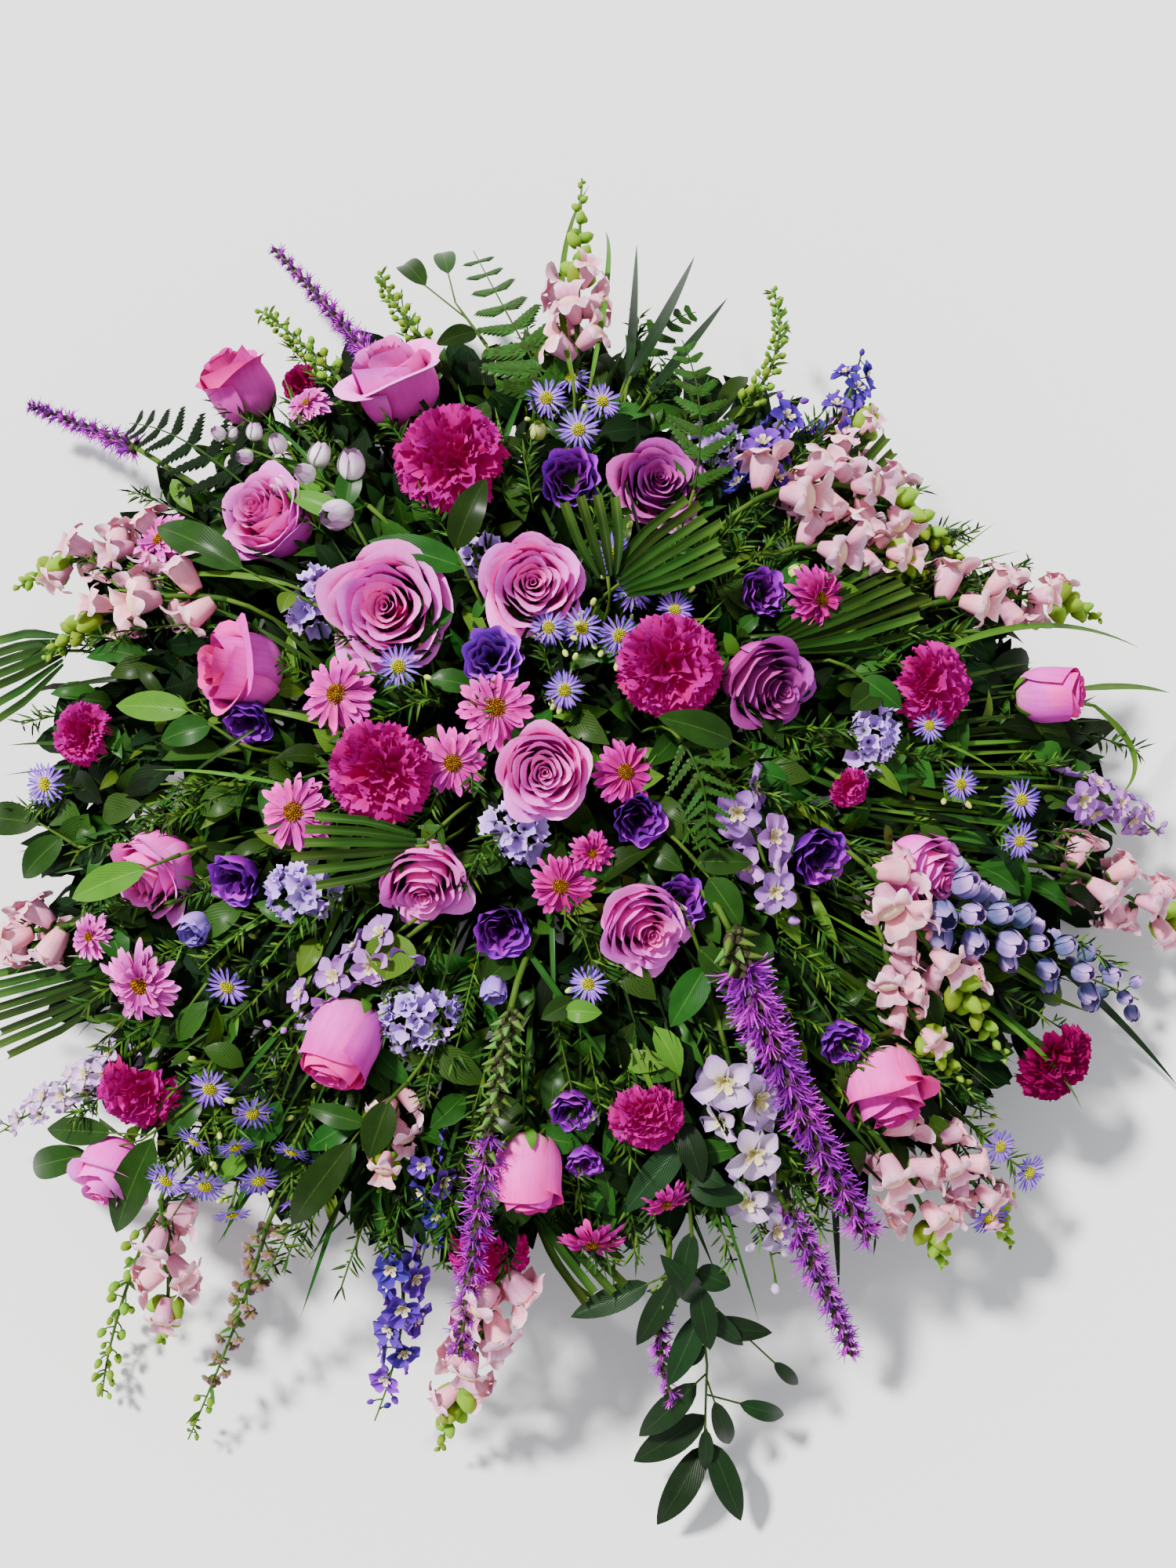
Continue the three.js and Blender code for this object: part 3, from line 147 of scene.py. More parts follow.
# Roses: eighteen lavender pink heads, each of soft petals rolled round a tight heart, held by five sepals and a hip.
# The stems are grown with the greens. Rows: place in the picture, width, lean right and up, how far open, lift.
ROSES = (
    (500, 480, 132, -0.35, 0.8, 0.5, 10), (305, 495, 100, -0.5, 0.75, 0.3, 0), (335, 655, 134, -0.5, 0.35, 0.7, 4),
    (495, 775, 166, -0.15, 0.08, 1.0, 8), (680, 745, 136, 0.0, 0.1, 0.9, 10), (840, 615, 118, 0.1, 0.3, 0.9, 4),
    (305, 855, 120, -0.85, 0.1, 0.4, 4), (985, 875, 132, 0.55, -0.25, 0.7, 8), (695, 985, 124, 0.0, -0.05, 0.9, 16),
    (540, 1130, 124, -0.05, -0.6, 0.8, 6), (825, 1185, 126, 0.35, -0.35, 0.8, 8), (1335, 885, 84, 0.9, 0.05, 0.1, 4),
    (1185, 1115, 118, 0.75, -0.3, 0.6, 2), (190, 1120, 130, -0.6, -0.45, 0.7, 0),
    (440, 1325, 112, -0.35, -0.8, 0.15, 6), (675, 1490, 100, 0.02, -0.95, 0.1, 6),
    (1130, 1390, 122, 0.3, -0.85, 0.45, 0), (140, 1500, 104, -0.4, -0.75, 0.5, 0),
)
PALE_ROSES = (2, 7, 12, 15, 16, 17)
MAUVE_ROSES = (6, 8)
# The mass of blooms is a low dome over the foam, longer towards the front
DOME_SIDE, DOME_BACK, DOME_FRONT = 430.0, 380.0, 460.0
RIM_HEIGHT, CROWN_HEIGHT, LOWEST = 42.0, 195.0, 9.0
HIP = ((0.0, -1.16), (0.11, -1.14), (0.17, -1.04), (0.15, -0.95), (0.05, -0.9), (0.0, -0.9))


def dome_height(x, y):
    """Height of the dome: rim plus crown (1 - rho^2)^0.75, rho the share of the way to the rim; it sinks past it."""
    rho = np.hypot(x / DOME_SIDE, y / np.where(y > 0, DOME_BACK, DOME_FRONT))
    inside = RIM_HEIGHT + CROWN_HEIGHT * np.clip(1.0 - rho**2, 0.0, None) ** 0.75
    return np.where(rho < 1.0, inside, np.maximum(RIM_HEIGHT - 80.0 * (rho - 1.0), 16.0))


def placed(u, v, lift=0.0):
    """Where the line of sight through picture places (u, v) meets the dome raised by lift."""
    u, v, lift = np.broadcast_arrays(*(np.asarray(value, float) for value in (u, v, lift)))
    ray = LOOK + RIGHT * ((u - MIDDLE_U) / LENS)[..., None] + UP * ((MIDDLE_V - v) / LENS)[..., None]
    height = np.full(u.shape, 150.0)
    for _ in range(24):
        at = EYE + ray * ((height - EYE[2]) / ray[..., 2])[..., None]
        height = np.maximum(0.5 * (height + dome_height(at[..., 0], at[..., 1]) + lift), LOWEST)
    return at


def picture_scale(at):
    """Millimetres that one step of the picture covers at a point: its depth over the lens."""
    return (at - EYE) @ LOOK / LENS


def unit(vectors):
    """Vectors divided by their lengths."""
    return vectors / np.maximum(np.linalg.norm(vectors, axis=-1, keepdims=True), 1e-9)


def bloom_axes(at, right, up):
    """Rows x, y, z of a bloom's frame: z leans right and up from the line to the eye."""
    towards = np.sqrt(max(1.0 - right * right - up * up, 0.02))
    z = unit(unit(EYE - at) * towards + RIGHT * right + UP * up)
    x = unit(np.cross((1.0, 0.0, 0.0) if abs(z[2]) > 0.9 else (0.0, 0.0, 1.0), z))
    return np.array([x, np.cross(z, x), z])


def bloom_spot(row, lift, wide=0.5):
    """Place, radius and frame of the bloom of a row."""
    at = placed(row[0], row[1], lift)
    return at, wide * row[2] * picture_scale(at), bloom_axes(at, row[3], row[4])


def aimed_axes(z, hint):
    """Frames for many directions: z is given, y lies as near to the hint as it can."""
    z = unit(z)
    x = unit(np.cross(hint, z) + 1e-6)
    return np.stack([x, np.cross(z, x), z], -2)


def set_in(local, at, axes, size=1.0):
    """Local points turned into frames and moved to their places: at + size * (local . axes)."""
    at, axes = np.atleast_2d(at), np.reshape(axes, (-1, 3, 3))
    turned = np.einsum("lk,nkj->nlj", local.reshape(-1, 3), axes) * np.broadcast_to(size, (len(at),))[:, None, None]
    return (turned + at[:, None, :]).reshape((len(at),) + local.shape)


def sheets(points, paint=0, tone=0.5, depth=1.0):
    """Grids of points (..., rows, columns, 3) as faces between neighbours; UV is (across, along)."""
    points = np.asarray(points, float)
    points = points.reshape((-1,) + points.shape[-3:])
    count, rows, cols = points.shape[:3]
    near = np.arange(rows * cols).reshape(rows, cols)
    quad = np.stack([near[:-1, :-1], near[:-1, 1:], near[1:, 1:], near[1:, :-1]], -1).reshape(-1, 4)
    faces = (quad[None] + (np.arange(count) * rows * cols)[:, None, None]).reshape(-1, 4)
    share = np.stack(np.meshgrid(np.linspace(0, 1, cols), np.linspace(0, 1, rows)), -1).reshape(-1, 2)
    tone, depth = (np.repeat(np.resize(np.ravel(value), count), rows * cols) for value in (tone, depth))
    return points.reshape(-1, 3), faces, np.tile(share, (count, 1)), tone, depth, np.full(len(faces), paint)


def laid(part, at, axes, size, paint=0, tone=0.5, depth=1.0):
    """Sheets of a part at its places."""
    return sheets(set_in(part, at, axes, size), paint, tone, depth)


def grow(node, ending, blocks, finishes):
    """One mesh in metres from blocks of sheets, doubled points closed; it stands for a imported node."""
    grids, quads, share, tone, depth, paint = zip(*blocks)
    points = np.concatenate(grids) * 0.001
    points[:, 2] = np.maximum(points[:, 2], 0.0006)
    starts = np.cumsum([0] + [len(grid) for grid in grids[:-1]])
    faces = np.concatenate([quad + start for quad, start in zip(quads, starts)])
    mesh = bpy.data.meshes.new(f"{node}_{ending}")
    mesh.from_pydata(points.tolist(), [], faces.tolist(), shade_flat=False)
    mesh.polygons.foreach_set("material_index", np.concatenate(paint).astype(np.int32))
    corners = np.concatenate(share)[faces.ravel()].astype(np.float32)
    mesh.uv_layers.new(name="UVMap").data.foreach_set("uv", corners.ravel())
    for field, values in (("tone", tone), ("depth", depth)):
        values = np.concatenate(values).astype(np.float32)
        mesh.attributes.new(field, "FLOAT", "POINT").data.foreach_set("value", values)
    work = bmesh.new()
    work.from_mesh(mesh)
    bmesh.ops.remove_doubles(work, verts=work.verts, dist=3e-7)
    work.to_mesh(mesh)
    work.free()
    for skin in finishes:
        mesh.materials.append(skin)
    made = stand(f"{node}_{ending}", mesh)
    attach(made, "root")
    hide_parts(node)


def around(radius, turn, height, aside=0.0):
    """Points at a radius, turn and height round z, moved at a right angle to the radius by aside."""
    cosine, sine = np.cos(turn), np.sin(turn)
    points = radius * cosine - aside * sine, radius * sine + aside * cosine, height
    return np.stack(np.broadcast_arrays(*points), -1)


def each(value, count):
    """A value for each of count sheets, ready to meet their grids."""
    return np.broadcast_to(np.asarray(value, float), (count,)).reshape(count, 1, 1)


def bezier(path, t):
    """Radius and height at shares t of cubic paths (count, 4, 2)."""
    weights = np.stack([(1 - t) ** 3, 3 * t * (1 - t) ** 2, 3 * t * t * (1 - t), t**3], -1)
    return ((weights * path[:, None, None, :, axis]).sum(-1) for axis in (0, 1))


def bent(count, *corners):
    """Paths (count, 4, 2) from four corners, each (radius, height)."""
    return np.stack([np.stack(np.broadcast_arrays(np.zeros(count), *pair)[1:], -1) for pair in corners], 1)


def rolled(angle, half, path, rows, cols, rounded=0.2, corner=2.5, spiral=0.0, curl=0.0, fold=0.0, wave=0.0,
           phase=0.0, cycles=1.6, twist=0.0):
    """Petals round an axis. t = s (1 - rounded |v|^corner) runs along the petal and v from -1 to 1 across it.
    Radius and height follow a cubic path of t; past 0.7 the rim bends out and down by curl (1 + fold v^2);
    wave ripples the radius; the petal spans half * width(t) * v round the axis and twists with t."""
    angle, half, rounded, corner, spiral, curl, fold, wave, phase, cycles, twist = (
        each(value, len(angle))
        for value in (angle, half, rounded, corner, spiral, curl, fold, wave, phase, cycles, twist))
    s = np.linspace(0, 1, rows)[None, :, None]
    v = np.linspace(-1, 1, cols)[None, None, :]
    t = s * (1.0 - rounded * np.abs(v) ** corner)
    radius, height = bezier(path, t)
    rim = np.clip((t - 0.7) / 0.3, 0, 1) ** 2
    radius = radius + curl * rim * (1 + fold * v**2) + wave * t**2 * np.sin(cycles * pi * v + phase)
    height = height - curl * rim * (0.45 + 1.2 * fold * v**2) + 0.6 * wave * t**2 * np.cos(cycles * pi * v + phase)
    radius = radius * (1 + spiral * v)
    turn = angle + half * (0.42 + 0.58 * np.sin(0.5 * pi * np.clip(t / 0.62, 0, 1))) * v + twist * t
    return around(radius, turn, height)


def lathed(profile, sides, lobes=0, amount=0.0):
    """Surface of revolution of (radius, height) rows, its radius waved by amount * cos(lobes * turn)."""
    profile = np.asarray(profile, float)
    turn = np.linspace(0, 2 * pi, sides + 1)
    return around(profile[:, :1] * (1 + amount * np.cos(lobes * turn)), turn, profile[:, 1:])


def ringed(rings, step):
    """Petals in rings: share of the ring from the heart out, and the turn of each petal, rings apart by step."""
    turn = 2 * pi * np.concatenate([np.arange(n) / n for n in rings]) + step * np.repeat(np.arange(len(rings)), rings)
    return np.repeat(np.linspace(0, 1, len(rings)), rings), turn


def rose_petals(opening, draw):
    """Rings of petals from the heart out. Ring share t sets the rim radius 0.05 + 0.55 t^1.15 and more at the
    last ring; each wall leans out from beside the rim before it. A closed bud is taller, of few wide petals."""
    closed = min(max((0.62 - opening) / 0.4, 0.0), 1.0)
    rings = (2, 3, 3, 4, 4, 5, 5, 5) if closed < 0.28 else (2, 3, 3, 3, 3, 3)
    t, angle = ringed(rings, 1.15)
    n = len(t)
    angle = angle + draw.uniform(-0.14, 0.14, n)
    rim = 0.05 + 0.55 * t**1.15 + (0.27 * opening - 0.03) * t**2.2
    gap = 0.07 + 0.13 * t
    top = 0.46 + 0.06 * np.sin(pi * t) - t ** (2.2 + 3.0 * closed) * 0.38 * opening
    top = top + draw.uniform(-0.03, 0.03, n) * (1 - 0.5 * closed)
    belly = np.clip((t - 0.5) / 0.3, 0, 1) ** 2 * (0.90 - rim + gap) * (0.55 + 0.45 * closed)
    path = bent(n, (0.05 + 0.08 * t, -0.93), (0.12 + 0.84 * t, -0.86),
                (rim - gap + belly, top - 0.20 - 0.22 * t - 0.15 * closed), (rim * draw.uniform(0.94, 1.06, n), top))
    curl = 0.03 + 0.06 * t + t**3 * (0.13 * opening + 0.06) + t**6 * closed * (1 - closed)
    made = rolled(angle, (1.42 + 0.14 * closed) * pi / np.repeat(rings, rings), path, 13, 11,
                  rounded=(0.12 + 0.15 * t) * (1 - 0.5 * closed), corner=2.3 - 0.7 * t * (1 - 0.6 * closed),
                  spiral=0.13 - 0.06 * t + 0.05 * closed * t, curl=curl * draw.uniform(0.6, 1.4, n),
                  fold=1.2 * t * (1 - 0.6 * closed), wave=(0.010 + 0.030 * t) * (1 - 0.3 * closed),
                  phase=draw.uniform(0, 6, n), twist=0.3 * closed)
    made[..., 2] = (made[..., 2] + 0.98) * (1.0 + 0.42 * closed) - 0.98
    # Inner rings get a low depth share and so more of the heart colour: deeper colour and painted shade.
    return made, draw.uniform(0, 1, n), 0.25 + 0.75 * t


def sepals(draw, cling):
    """Five pointed sepals from the hip: they cling to the petals by the share cling, or bend away."""
    angle = 2 * pi * np.arange(5) / 5 + draw.uniform(-0.2, 0.2, 5)
    away = 1 - cling
    path = bent(5, (0.12, -1.0), (0.42, -0.97), (0.78 + 0.1 * away, -0.72 * cling - away),
                (0.86 + 0.2 * away, -0.3 * cling - 1.15 * away + draw.uniform(-0.1, 0.1, 5)))
    made = rolled(angle, 0.42, path, 7, 3, rounded=0.0)
    middle = made[:, :, 1:2]
    return middle + (made - middle) * (1 - np.linspace(0, 1, 7)[None, :, None, None]) ** 0.7


def maths(tree, operation, *values):
    """Result of a sum on values and sockets."""
    return put(tree, "Math", dict(enumerate(values)), operation=operation).outputs[0]


def ramp(tree, value, **ends):
    """Smooth step of a value between its ends, from 0 and 1 to 0 and 1 where not given."""
    named = {key.replace("_", " "): end for key, end in ends.items()}
    return put(tree, "MapRange", {0: value, **named}, interpolation_type="SMOOTHSTEP").outputs[0]


def tissue(name, pattern):
    """Shader group of petals and leaves: pattern(tree, given, x, y, tone) gives colour, lightness and height from the
    place across and along the sheet; hue and lightness drift from sheet to sheet by its tone."""
    tree = bpy.data.node_groups.new(name, "ShaderNodeTree")
    for way, kind, names in (
        ("INPUT", "Color", ("Root", "Middle", "Rim", "Heart")), ("OUTPUT", "Color", ("Colour",)),
        ("INPUT", "Float", ("Veins", "Drift", "Hue drift", "Fineness")), ("OUTPUT", "Float", ("Height",)),
    ):
        for socket in names:
            tree.interface.new_socket(name=socket, in_out=way, socket_type="NodeSocket" + kind)
    given, out = tree.nodes.new("NodeGroupInput").outputs, tree.nodes.new("NodeGroupOutput")
    across = put(tree, "UVMap", {}, uv_map="UVMap").outputs[0]
    x, y = put(tree, "SeparateXYZ", {0: across}).outputs[:2]
    tone = put(tree, "Attribute", {}, attribute_name="tone").outputs["Fac"]
    colour, shade, height = pattern(tree, given, x, y, tone)
    off = maths(tree, "SUBTRACT", tone, 0.5)
    hue = maths(tree, "MULTIPLY_ADD", off, given["Hue drift"], 0.5)
    value = maths(tree, "MULTIPLY_ADD", off, given["Drift"], shade)
    shift = put(tree, "HueSaturation", {"Hue": hue, "Value": value, "Color": colour}).outputs[0]
    fill(tree, out, {"Colour": shift, "Height": height})
    return tree


def petal_pattern(tree, given, x, y, tone):
    """Root, middle and rim colours run along the petal; the heart colour, mostly darker, is mixed in by the depth
    attribute towards the heart of the bloom as deeper colour and painted shade; veins run along.
    """
    colour = blend(tree, ramp(tree, y, From_Max=0.5), given["Root"], given["Middle"])
    colour = blend(tree, ramp(tree, y, From_Min=0.62), colour, given["Rim"])
    depth = put(tree, "Attribute", {}, attribute_name="depth").outputs["Fac"]
    spot = put(tree, "CombineXYZ", {0: maths(tree, "MULTIPLY", x, given["Fineness"]),
                                    1: maths(tree, "MULTIPLY", y, 2.4), 2: maths(tree, "MULTIPLY", tone, 37.0)})
    veins = put(tree, "TexNoise", {"Vector": spot.outputs[0], "Scale": 1.0, "Detail": 3.0}).outputs["Fac"]
    cloud = maths(tree, "MULTIPLY_ADD", mottled(tree, 55.0, 2.0), 0.5, 0.75)
    shade = maths(tree, "MULTIPLY_ADD", maths(tree, "SUBTRACT", veins, 0.5), given["Veins"], cloud)
    return blend(tree, depth, given["Heart"], colour), shade, veins


def skin(name, root, middle, rim, heart=(0.0, 0.0, 0.0), veins=0.35, drift=0.35, hue=0.03, fine=24.0, rough=0.6,
         coat=0.0, bump=0.25, group=None, shine=0.04, glow=(0.0, 0.0, 0.0)):
    """Finish in a tissue group's colour and height; glow is an emission colour, a painted glow that stands in for the
    light that comes through a thin petal.
    """
    def make(tree):
        """Colour and height sockets of the group."""
        colours = {"Root": root, "Middle": middle, "Rim": rim, "Heart": heart}
        return put(tree, "Group", {**{key: (*value, 1.0) for key, value in colours.items()}, "Veins": veins,
                                   "Drift": drift, "Hue drift": hue, "Fineness": fine},
                   node_tree=group or PETAL_TISSUE).outputs[:2]
    return finish(name, bump, 0.0006, make, Roughness=rough, Specular_IOR_Level=shine, Coat_Weight=coat,
                  Coat_Roughness=0.25, Emission_Color=(*glow, 1.0), Emission_Strength=1.0)


PETAL_TISSUE = tissue("petal tissue", petal_pattern)
# The heart, the fourth colour of each skin, is mostly darker: deeper colour and painted shade deep in the bloom.
ROSE_SKIN = skin("rose petals", (0.72, 0.004, 0.32), (0.93, 0.055, 0.62), (0.98, 0.22, 0.86), (0.64, 0.003, 0.26),
                 veins=0.25, drift=0.22, hue=0.04)
PALE_ROSE_SKIN = skin("pale based rose petals", (0.76, 0.34, 0.40), (0.84, 0.075, 0.54), (0.84, 0.03, 0.46),
                      (0.60, 0.004, 0.24), veins=0.45, drift=0.3, hue=0.05)
MAUVE_SKIN = skin("mauve rose petals", (0.32, 0.004, 0.18), (0.42, 0.016, 0.32), (0.54, 0.07, 0.48),
                  (0.26, 0.003, 0.15), veins=0.3, drift=0.3, hue=0.06)
CALYX_SKIN = skin("calyx green", (0.05, 0.13, 0.01), (0.08, 0.19, 0.015), (0.04, 0.11, 0.01), (0.05, 0.12, 0.01),
                  veins=0.4, drift=0.5, hue=0.04, rough=0.5)


def rose(draw, row, at, radius, axes):
    """Petals of a rose, then its sepals and hip."""
    petals, tones, depths = rose_petals(row[5], draw)
    green = sepals(draw, 0.9 if row[5] < 0.35 else 0.2), lathed(HIP, 10)[None]
    yield laid(petals, at, axes, radius, 0, tones, depths)
    for part in green:
        yield laid(part, at, axes, radius, 1, draw.uniform(0, 1, len(part)))


for number, row in enumerate(ROSES, 1):
    tint = PALE_ROSE_SKIN if number in PALE_ROSES else MAUVE_SKIN if number in MAUVE_ROSES else ROSE_SKIN
    blocks = rose(np.random.default_rng(100 + number), row, *bloom_spot(row, row[-1]))
    grow(f"rose_{number:02d}", "head", blocks, (tint, CALYX_SKIN))

# Carnations: eleven magenta heads, each a ball of about sixty ruffled petals with toothed rims.
# A ribbed green cup holds the petals together. Rows: place, width, lean right and up, lift.
CARNATIONS = (
    (575, 583, 156, -0.2, 0.4, 6), (855, 850, 144, 0.2, 0.0, 14), (485, 985, 146, -0.3, -0.15, 8),
    (105, 935, 86, -0.6, 0.1, 4), (1190, 875, 120, 0.7, 0.0, 4), (1082, 1005, 62, 0.5, -0.5, 6),
    (180, 1395, 118, -0.3, -0.7, 0), (1345, 1355, 116, 0.6, -0.5, 0), (825, 1425, 104, 0.05, -0.65, 2),
    (625, 1600, 112, 0.05, -0.8, -16), (385, 488, 60, -0.4, 0.6, -10),
)
GOLDEN = 2.399963
PETALS, SMALL_PETALS, SMALL_HEAD = 58, 30, 70
CUP = ((0.0, -1.05), (0.14, -1.0), (0.2, -0.8), (0.22, -0.55), (0.27, -0.42), (0.2, -0.4))


def ruffled(polar, turn, roll, draw, rows=7, cols=17):
    """Fan petals of a ball: each runs on a bent line from the foot to the ball's skin at its polar angle,
    spreads by 0.45 s^1.2 v across, is folded by waves 0.16 s^2 sin(pi f v) and has a toothed rim."""
    count = len(polar)
    s = np.linspace(0, 1, rows)[None, :, None]
    v = np.linspace(-1, 1, cols)[None, None, :]
    t = s * (1 + 0.075 * (np.arange(cols) % 2) * s**5 - 0.14 * v**2 * s) * each(draw.uniform(0.88, 1.05, count), count)
    out, high = np.sin(polar), np.cos(polar)
    radius, height = bezier(bent(count, (0.02, -0.5), (0.05 + 0.2 * out, -0.2), (0.60 * out, 0.16 + 0.2 * high),
                                 (0.90 * out, 0.5 * np.maximum(high, 0) ** 0.8 - 0.08 * out**6)), t)
    spread = each((0.34 + 0.10 * out) * draw.uniform(0.8, 1.15, count), count) * s**1.2 * v
    deep, waves, phase, frill, lean = (each(draw.uniform(*ends, count), count)
                                       for ends in ((0.09, 0.19), (1.0, 2.4), (0, 6), (4, 7), (-0.16, 0.16)))
    fold = deep * s**2 * np.sin(pi * waves * v + phase) + 0.035 * s**3 * np.sin(pi * frill * v) + lean * s**2
    roll, turn = each(roll, count), each(turn, count)
    aside = spread * np.cos(roll) - fold * np.sin(roll)
    thick = spread * np.sin(roll) + fold * np.cos(roll)
    radius, height = radius - thick * each(high, count), height + thick * each(out, count)
    return around(radius, turn, height, aside)


# Carnation petals carry a painted glow: a weak magenta emission that stands in for light through the thin petals and
# lifts their shade.
CARNATION_SKIN = skin("carnation petals", (0.18, 0.0, 0.05), (0.34, 0.0, 0.13), (0.38, 0.0, 0.26), (0.24, 0.0, 0.06),
                      veins=0.3, drift=0.5, rough=0.7, shine=0.0, glow=(0.095, 0.0, 0.014))
CRIMSON_SKIN = skin("crimson carnation petals", (0.10, 0.0, 0.02), (0.19, 0.0, 0.045), (0.24, 0.0, 0.09),
                    (0.14, 0.0, 0.03), veins=0.3, drift=0.5, rough=0.7, shine=0.0, glow=(0.035, 0.0, 0.004))


def carnation(draw, row, at, radius, axes):
    """Ruffled petals of a carnation, then the cup that holds them."""
    count = PETALS if row[2] > SMALL_HEAD else SMALL_PETALS
    k = np.arange(count)
    polar = np.abs(radians(94) * ((k + 0.5) / count) ** 0.55 + draw.uniform(-0.1, 0.1, count))
    turn = GOLDEN * k + draw.uniform(-0.3, 0.3, count)
    petals = ruffled(polar, turn, draw.uniform(-1, 1, count) * (1.4 - 0.8 * polar), draw)
    depths = 0.35 + 0.65 * draw.uniform(0, 1, count)
    yield laid(petals, at, axes, radius, 0, draw.uniform(0, 1, count), depths)
    yield laid(lathed(CUP, 12, 6, 0.05), at, axes, 0.9 * radius, 1)


for number, row in enumerate(CARNATIONS, 1):
    tint = CRIMSON_SKIN if number in (8, 11) else CARNATION_SKIN
    blocks = carnation(np.random.default_rng(200 + number), row, *bloom_spot(row, row[-1]))
    grow(f"carnation_{number:02d}", "head", blocks, (tint, CALYX_SKIN))

# Lisianthus: sprays of violet cups with waved petals in three rings, and slim buds, on branching stems that
# come out of the foam and bend up to each bloom. Rows of a spray: place, width, lean right and up.
LISIANTHUS = {
    "upper": ((728, 610, 82, 0.05, 0.15), (686, 548, 36, 0, 0.6), (628, 838, 82, 0, 0.1), (972, 755, 66, 0.5, 0.1),
              (1015, 728, 30, 0.5, 0.5)),
    "middle": ((815, 1045, 72, 0.2, -0.3), (868, 1150, 70, 0.4, 0), (1045, 1090, 80, 0.4, -0.4)),
    "left": ((318, 920, 66, -0.3, -0.6), (300, 1120, 74, -0.5, -0.4), (248, 1185, 58, -0.4, -0.5)),
    "lower": ((640, 1187, 76, 0, -0.4), (630, 1265, 48, 0, -0.8), (730, 1415, 62, 0, -0.6), (745, 1482, 50, 0, -0.7),
              (1075, 1328, 66, 0.3, -0.6)),
}
# Bud share and paint of the blooms that are green buds, pale cups or lavender cups
LISIANTHUS_KINDS = {(686, 548): (0.95, 1), (1015, 728): (0.95, 1), (248, 1185): (0.55, 2), (630, 1265): (0.55, 2),
                    (628, 838): (0.2, 4)}
CORE = np.array([0.0, 0.0, 46.0])
FOOT_OUT = 100.0
SAG = 0.00045


def tubes(paths, radii, sides=5):
    """Round tubes along paths (count, steps, 3) with a radius for each step, drawn in to a point at both ends."""
    paths = np.asarray(paths, float)
    paths = paths.reshape((-1,) + paths.shape[-2:])
    radii = np.array(np.broadcast_to(radii, paths.shape[:2]), float)
    run = unit(np.gradient(paths, axis=1))
    aside = unit(np.cross(run, np.where(np.abs(run[..., 2:]) > 0.85, (1.0, 0.0, 0.0), (0.0, 0.0, 1.0))))
    turn = np.linspace(0, 2 * pi, sides + 1)[:, None]
    ring = aside[:, :, None] * np.cos(turn) + np.cross(run, aside)[:, :, None] * np.sin(turn)
    ends = [np.repeat(paths[:, end][:, None, None], sides + 1, 2) for end in (0, -1)]
    return np.concatenate([ends[0], paths[:, :, None] + radii[:, :, None, None] * ring, ends[1]], 1)


def stem_paths(tips, backs, start, steps=9):
    """Cubic curves from a start near the foam to each bloom, which they meet from its back; they sag on the way."""
    tips, backs = np.atleast_2d(tips), np.atleast_2d(backs)
    s = np.linspace(0, 1, steps)[None, :, None]
    first = start + unit(tips - start) * 0.35 * np.linalg.norm(tips - start, axis=-1, keepdims=True)
    tips, first, last = tips[:, None], first[:, None], (tips + backs)[:, None]
    path = (1 - s) ** 3 * start + 3 * s * (1 - s) ** 2 * first + 3 * s * s * (1 - s) * last + s**3 * tips
    droop = SAG * 0.5 * np.maximum((path[..., :2] ** 2).sum(-1) - 20000.0, 0) * (1 - s[..., 0]) * s[..., 0]
    path[..., 2] = np.maximum(path[..., 2] - droop, 8.0)
    return path


def spray_start(ats):
    """Where a spray leaves the foam: off the core towards the mean of its blooms, with the sag taken out."""
    lifted = ats + np.stack([0 * ats[:, 0], 0 * ats[:, 0], SAG * (ats[:, :2] ** 2).sum(-1)], -1)
    return CORE + unit(unit(lifted - CORE).mean(0)) * FOOT_OUT


def spray_paths(places, gap):
    """Stems of a spray that end a gap below each of its blooms."""
    ats, backs = np.array([place[0] for place in places]), -np.array([place[2][2] for place in places])
    return stem_paths(ats + backs * gap, 30 * backs, spray_start(ats))


def arrange(family, ending, seed, table, spot, bloom, stems, finishes):
    """Grows each spray or bunch of a table: spot(row) gives the place of a bloom or spike, bloom(draw, row, *place)
    its sheets, and stems(draw, places) the sheets of what carries them."""
    for name, rows in table.items():
        draw = np.random.default_rng(seed + len(name))
        places = [spot(row) for row in rows]
        blocks = [block for row, place in zip(rows, places) for block in bloom(draw, row, *place)]
        grow(f"{family}_{name}", ending, blocks + stems(draw, places), finishes)


def cup_petals(draw, closed):
    """Three rings of broad waved petals; closed pulls the rims in to a twisted bud."""
    t, angle = ringed((3, 4, 5), 0.8)
    n = len(t)
    path = bent(n, (0.04 + 0.02 * t, -0.9), (0.2 + 0.3 * t, -0.78), (0.28 + 0.42 * t, -0.2),
                ((0.34 + 0.52 * t) * (1 - 0.72 * closed), 0.26 + 0.4 * t * (1 - t) + 0.35 * closed))
    made = rolled(angle + draw.uniform(-0.2, 0.2, n), 1.45 - 0.3 * t, path, 10, 15, rounded=0.16, spiral=0.16,
                  curl=0.12 * (1 - closed), fold=0.5, wave=0.10 * (1 - closed), phase=draw.uniform(0, 6, n),
                  cycles=draw.uniform(1.8, 3.2, n), twist=0.9 * closed)
    return made, draw.uniform(0, 1, n), 0.2 + 0.8 * t


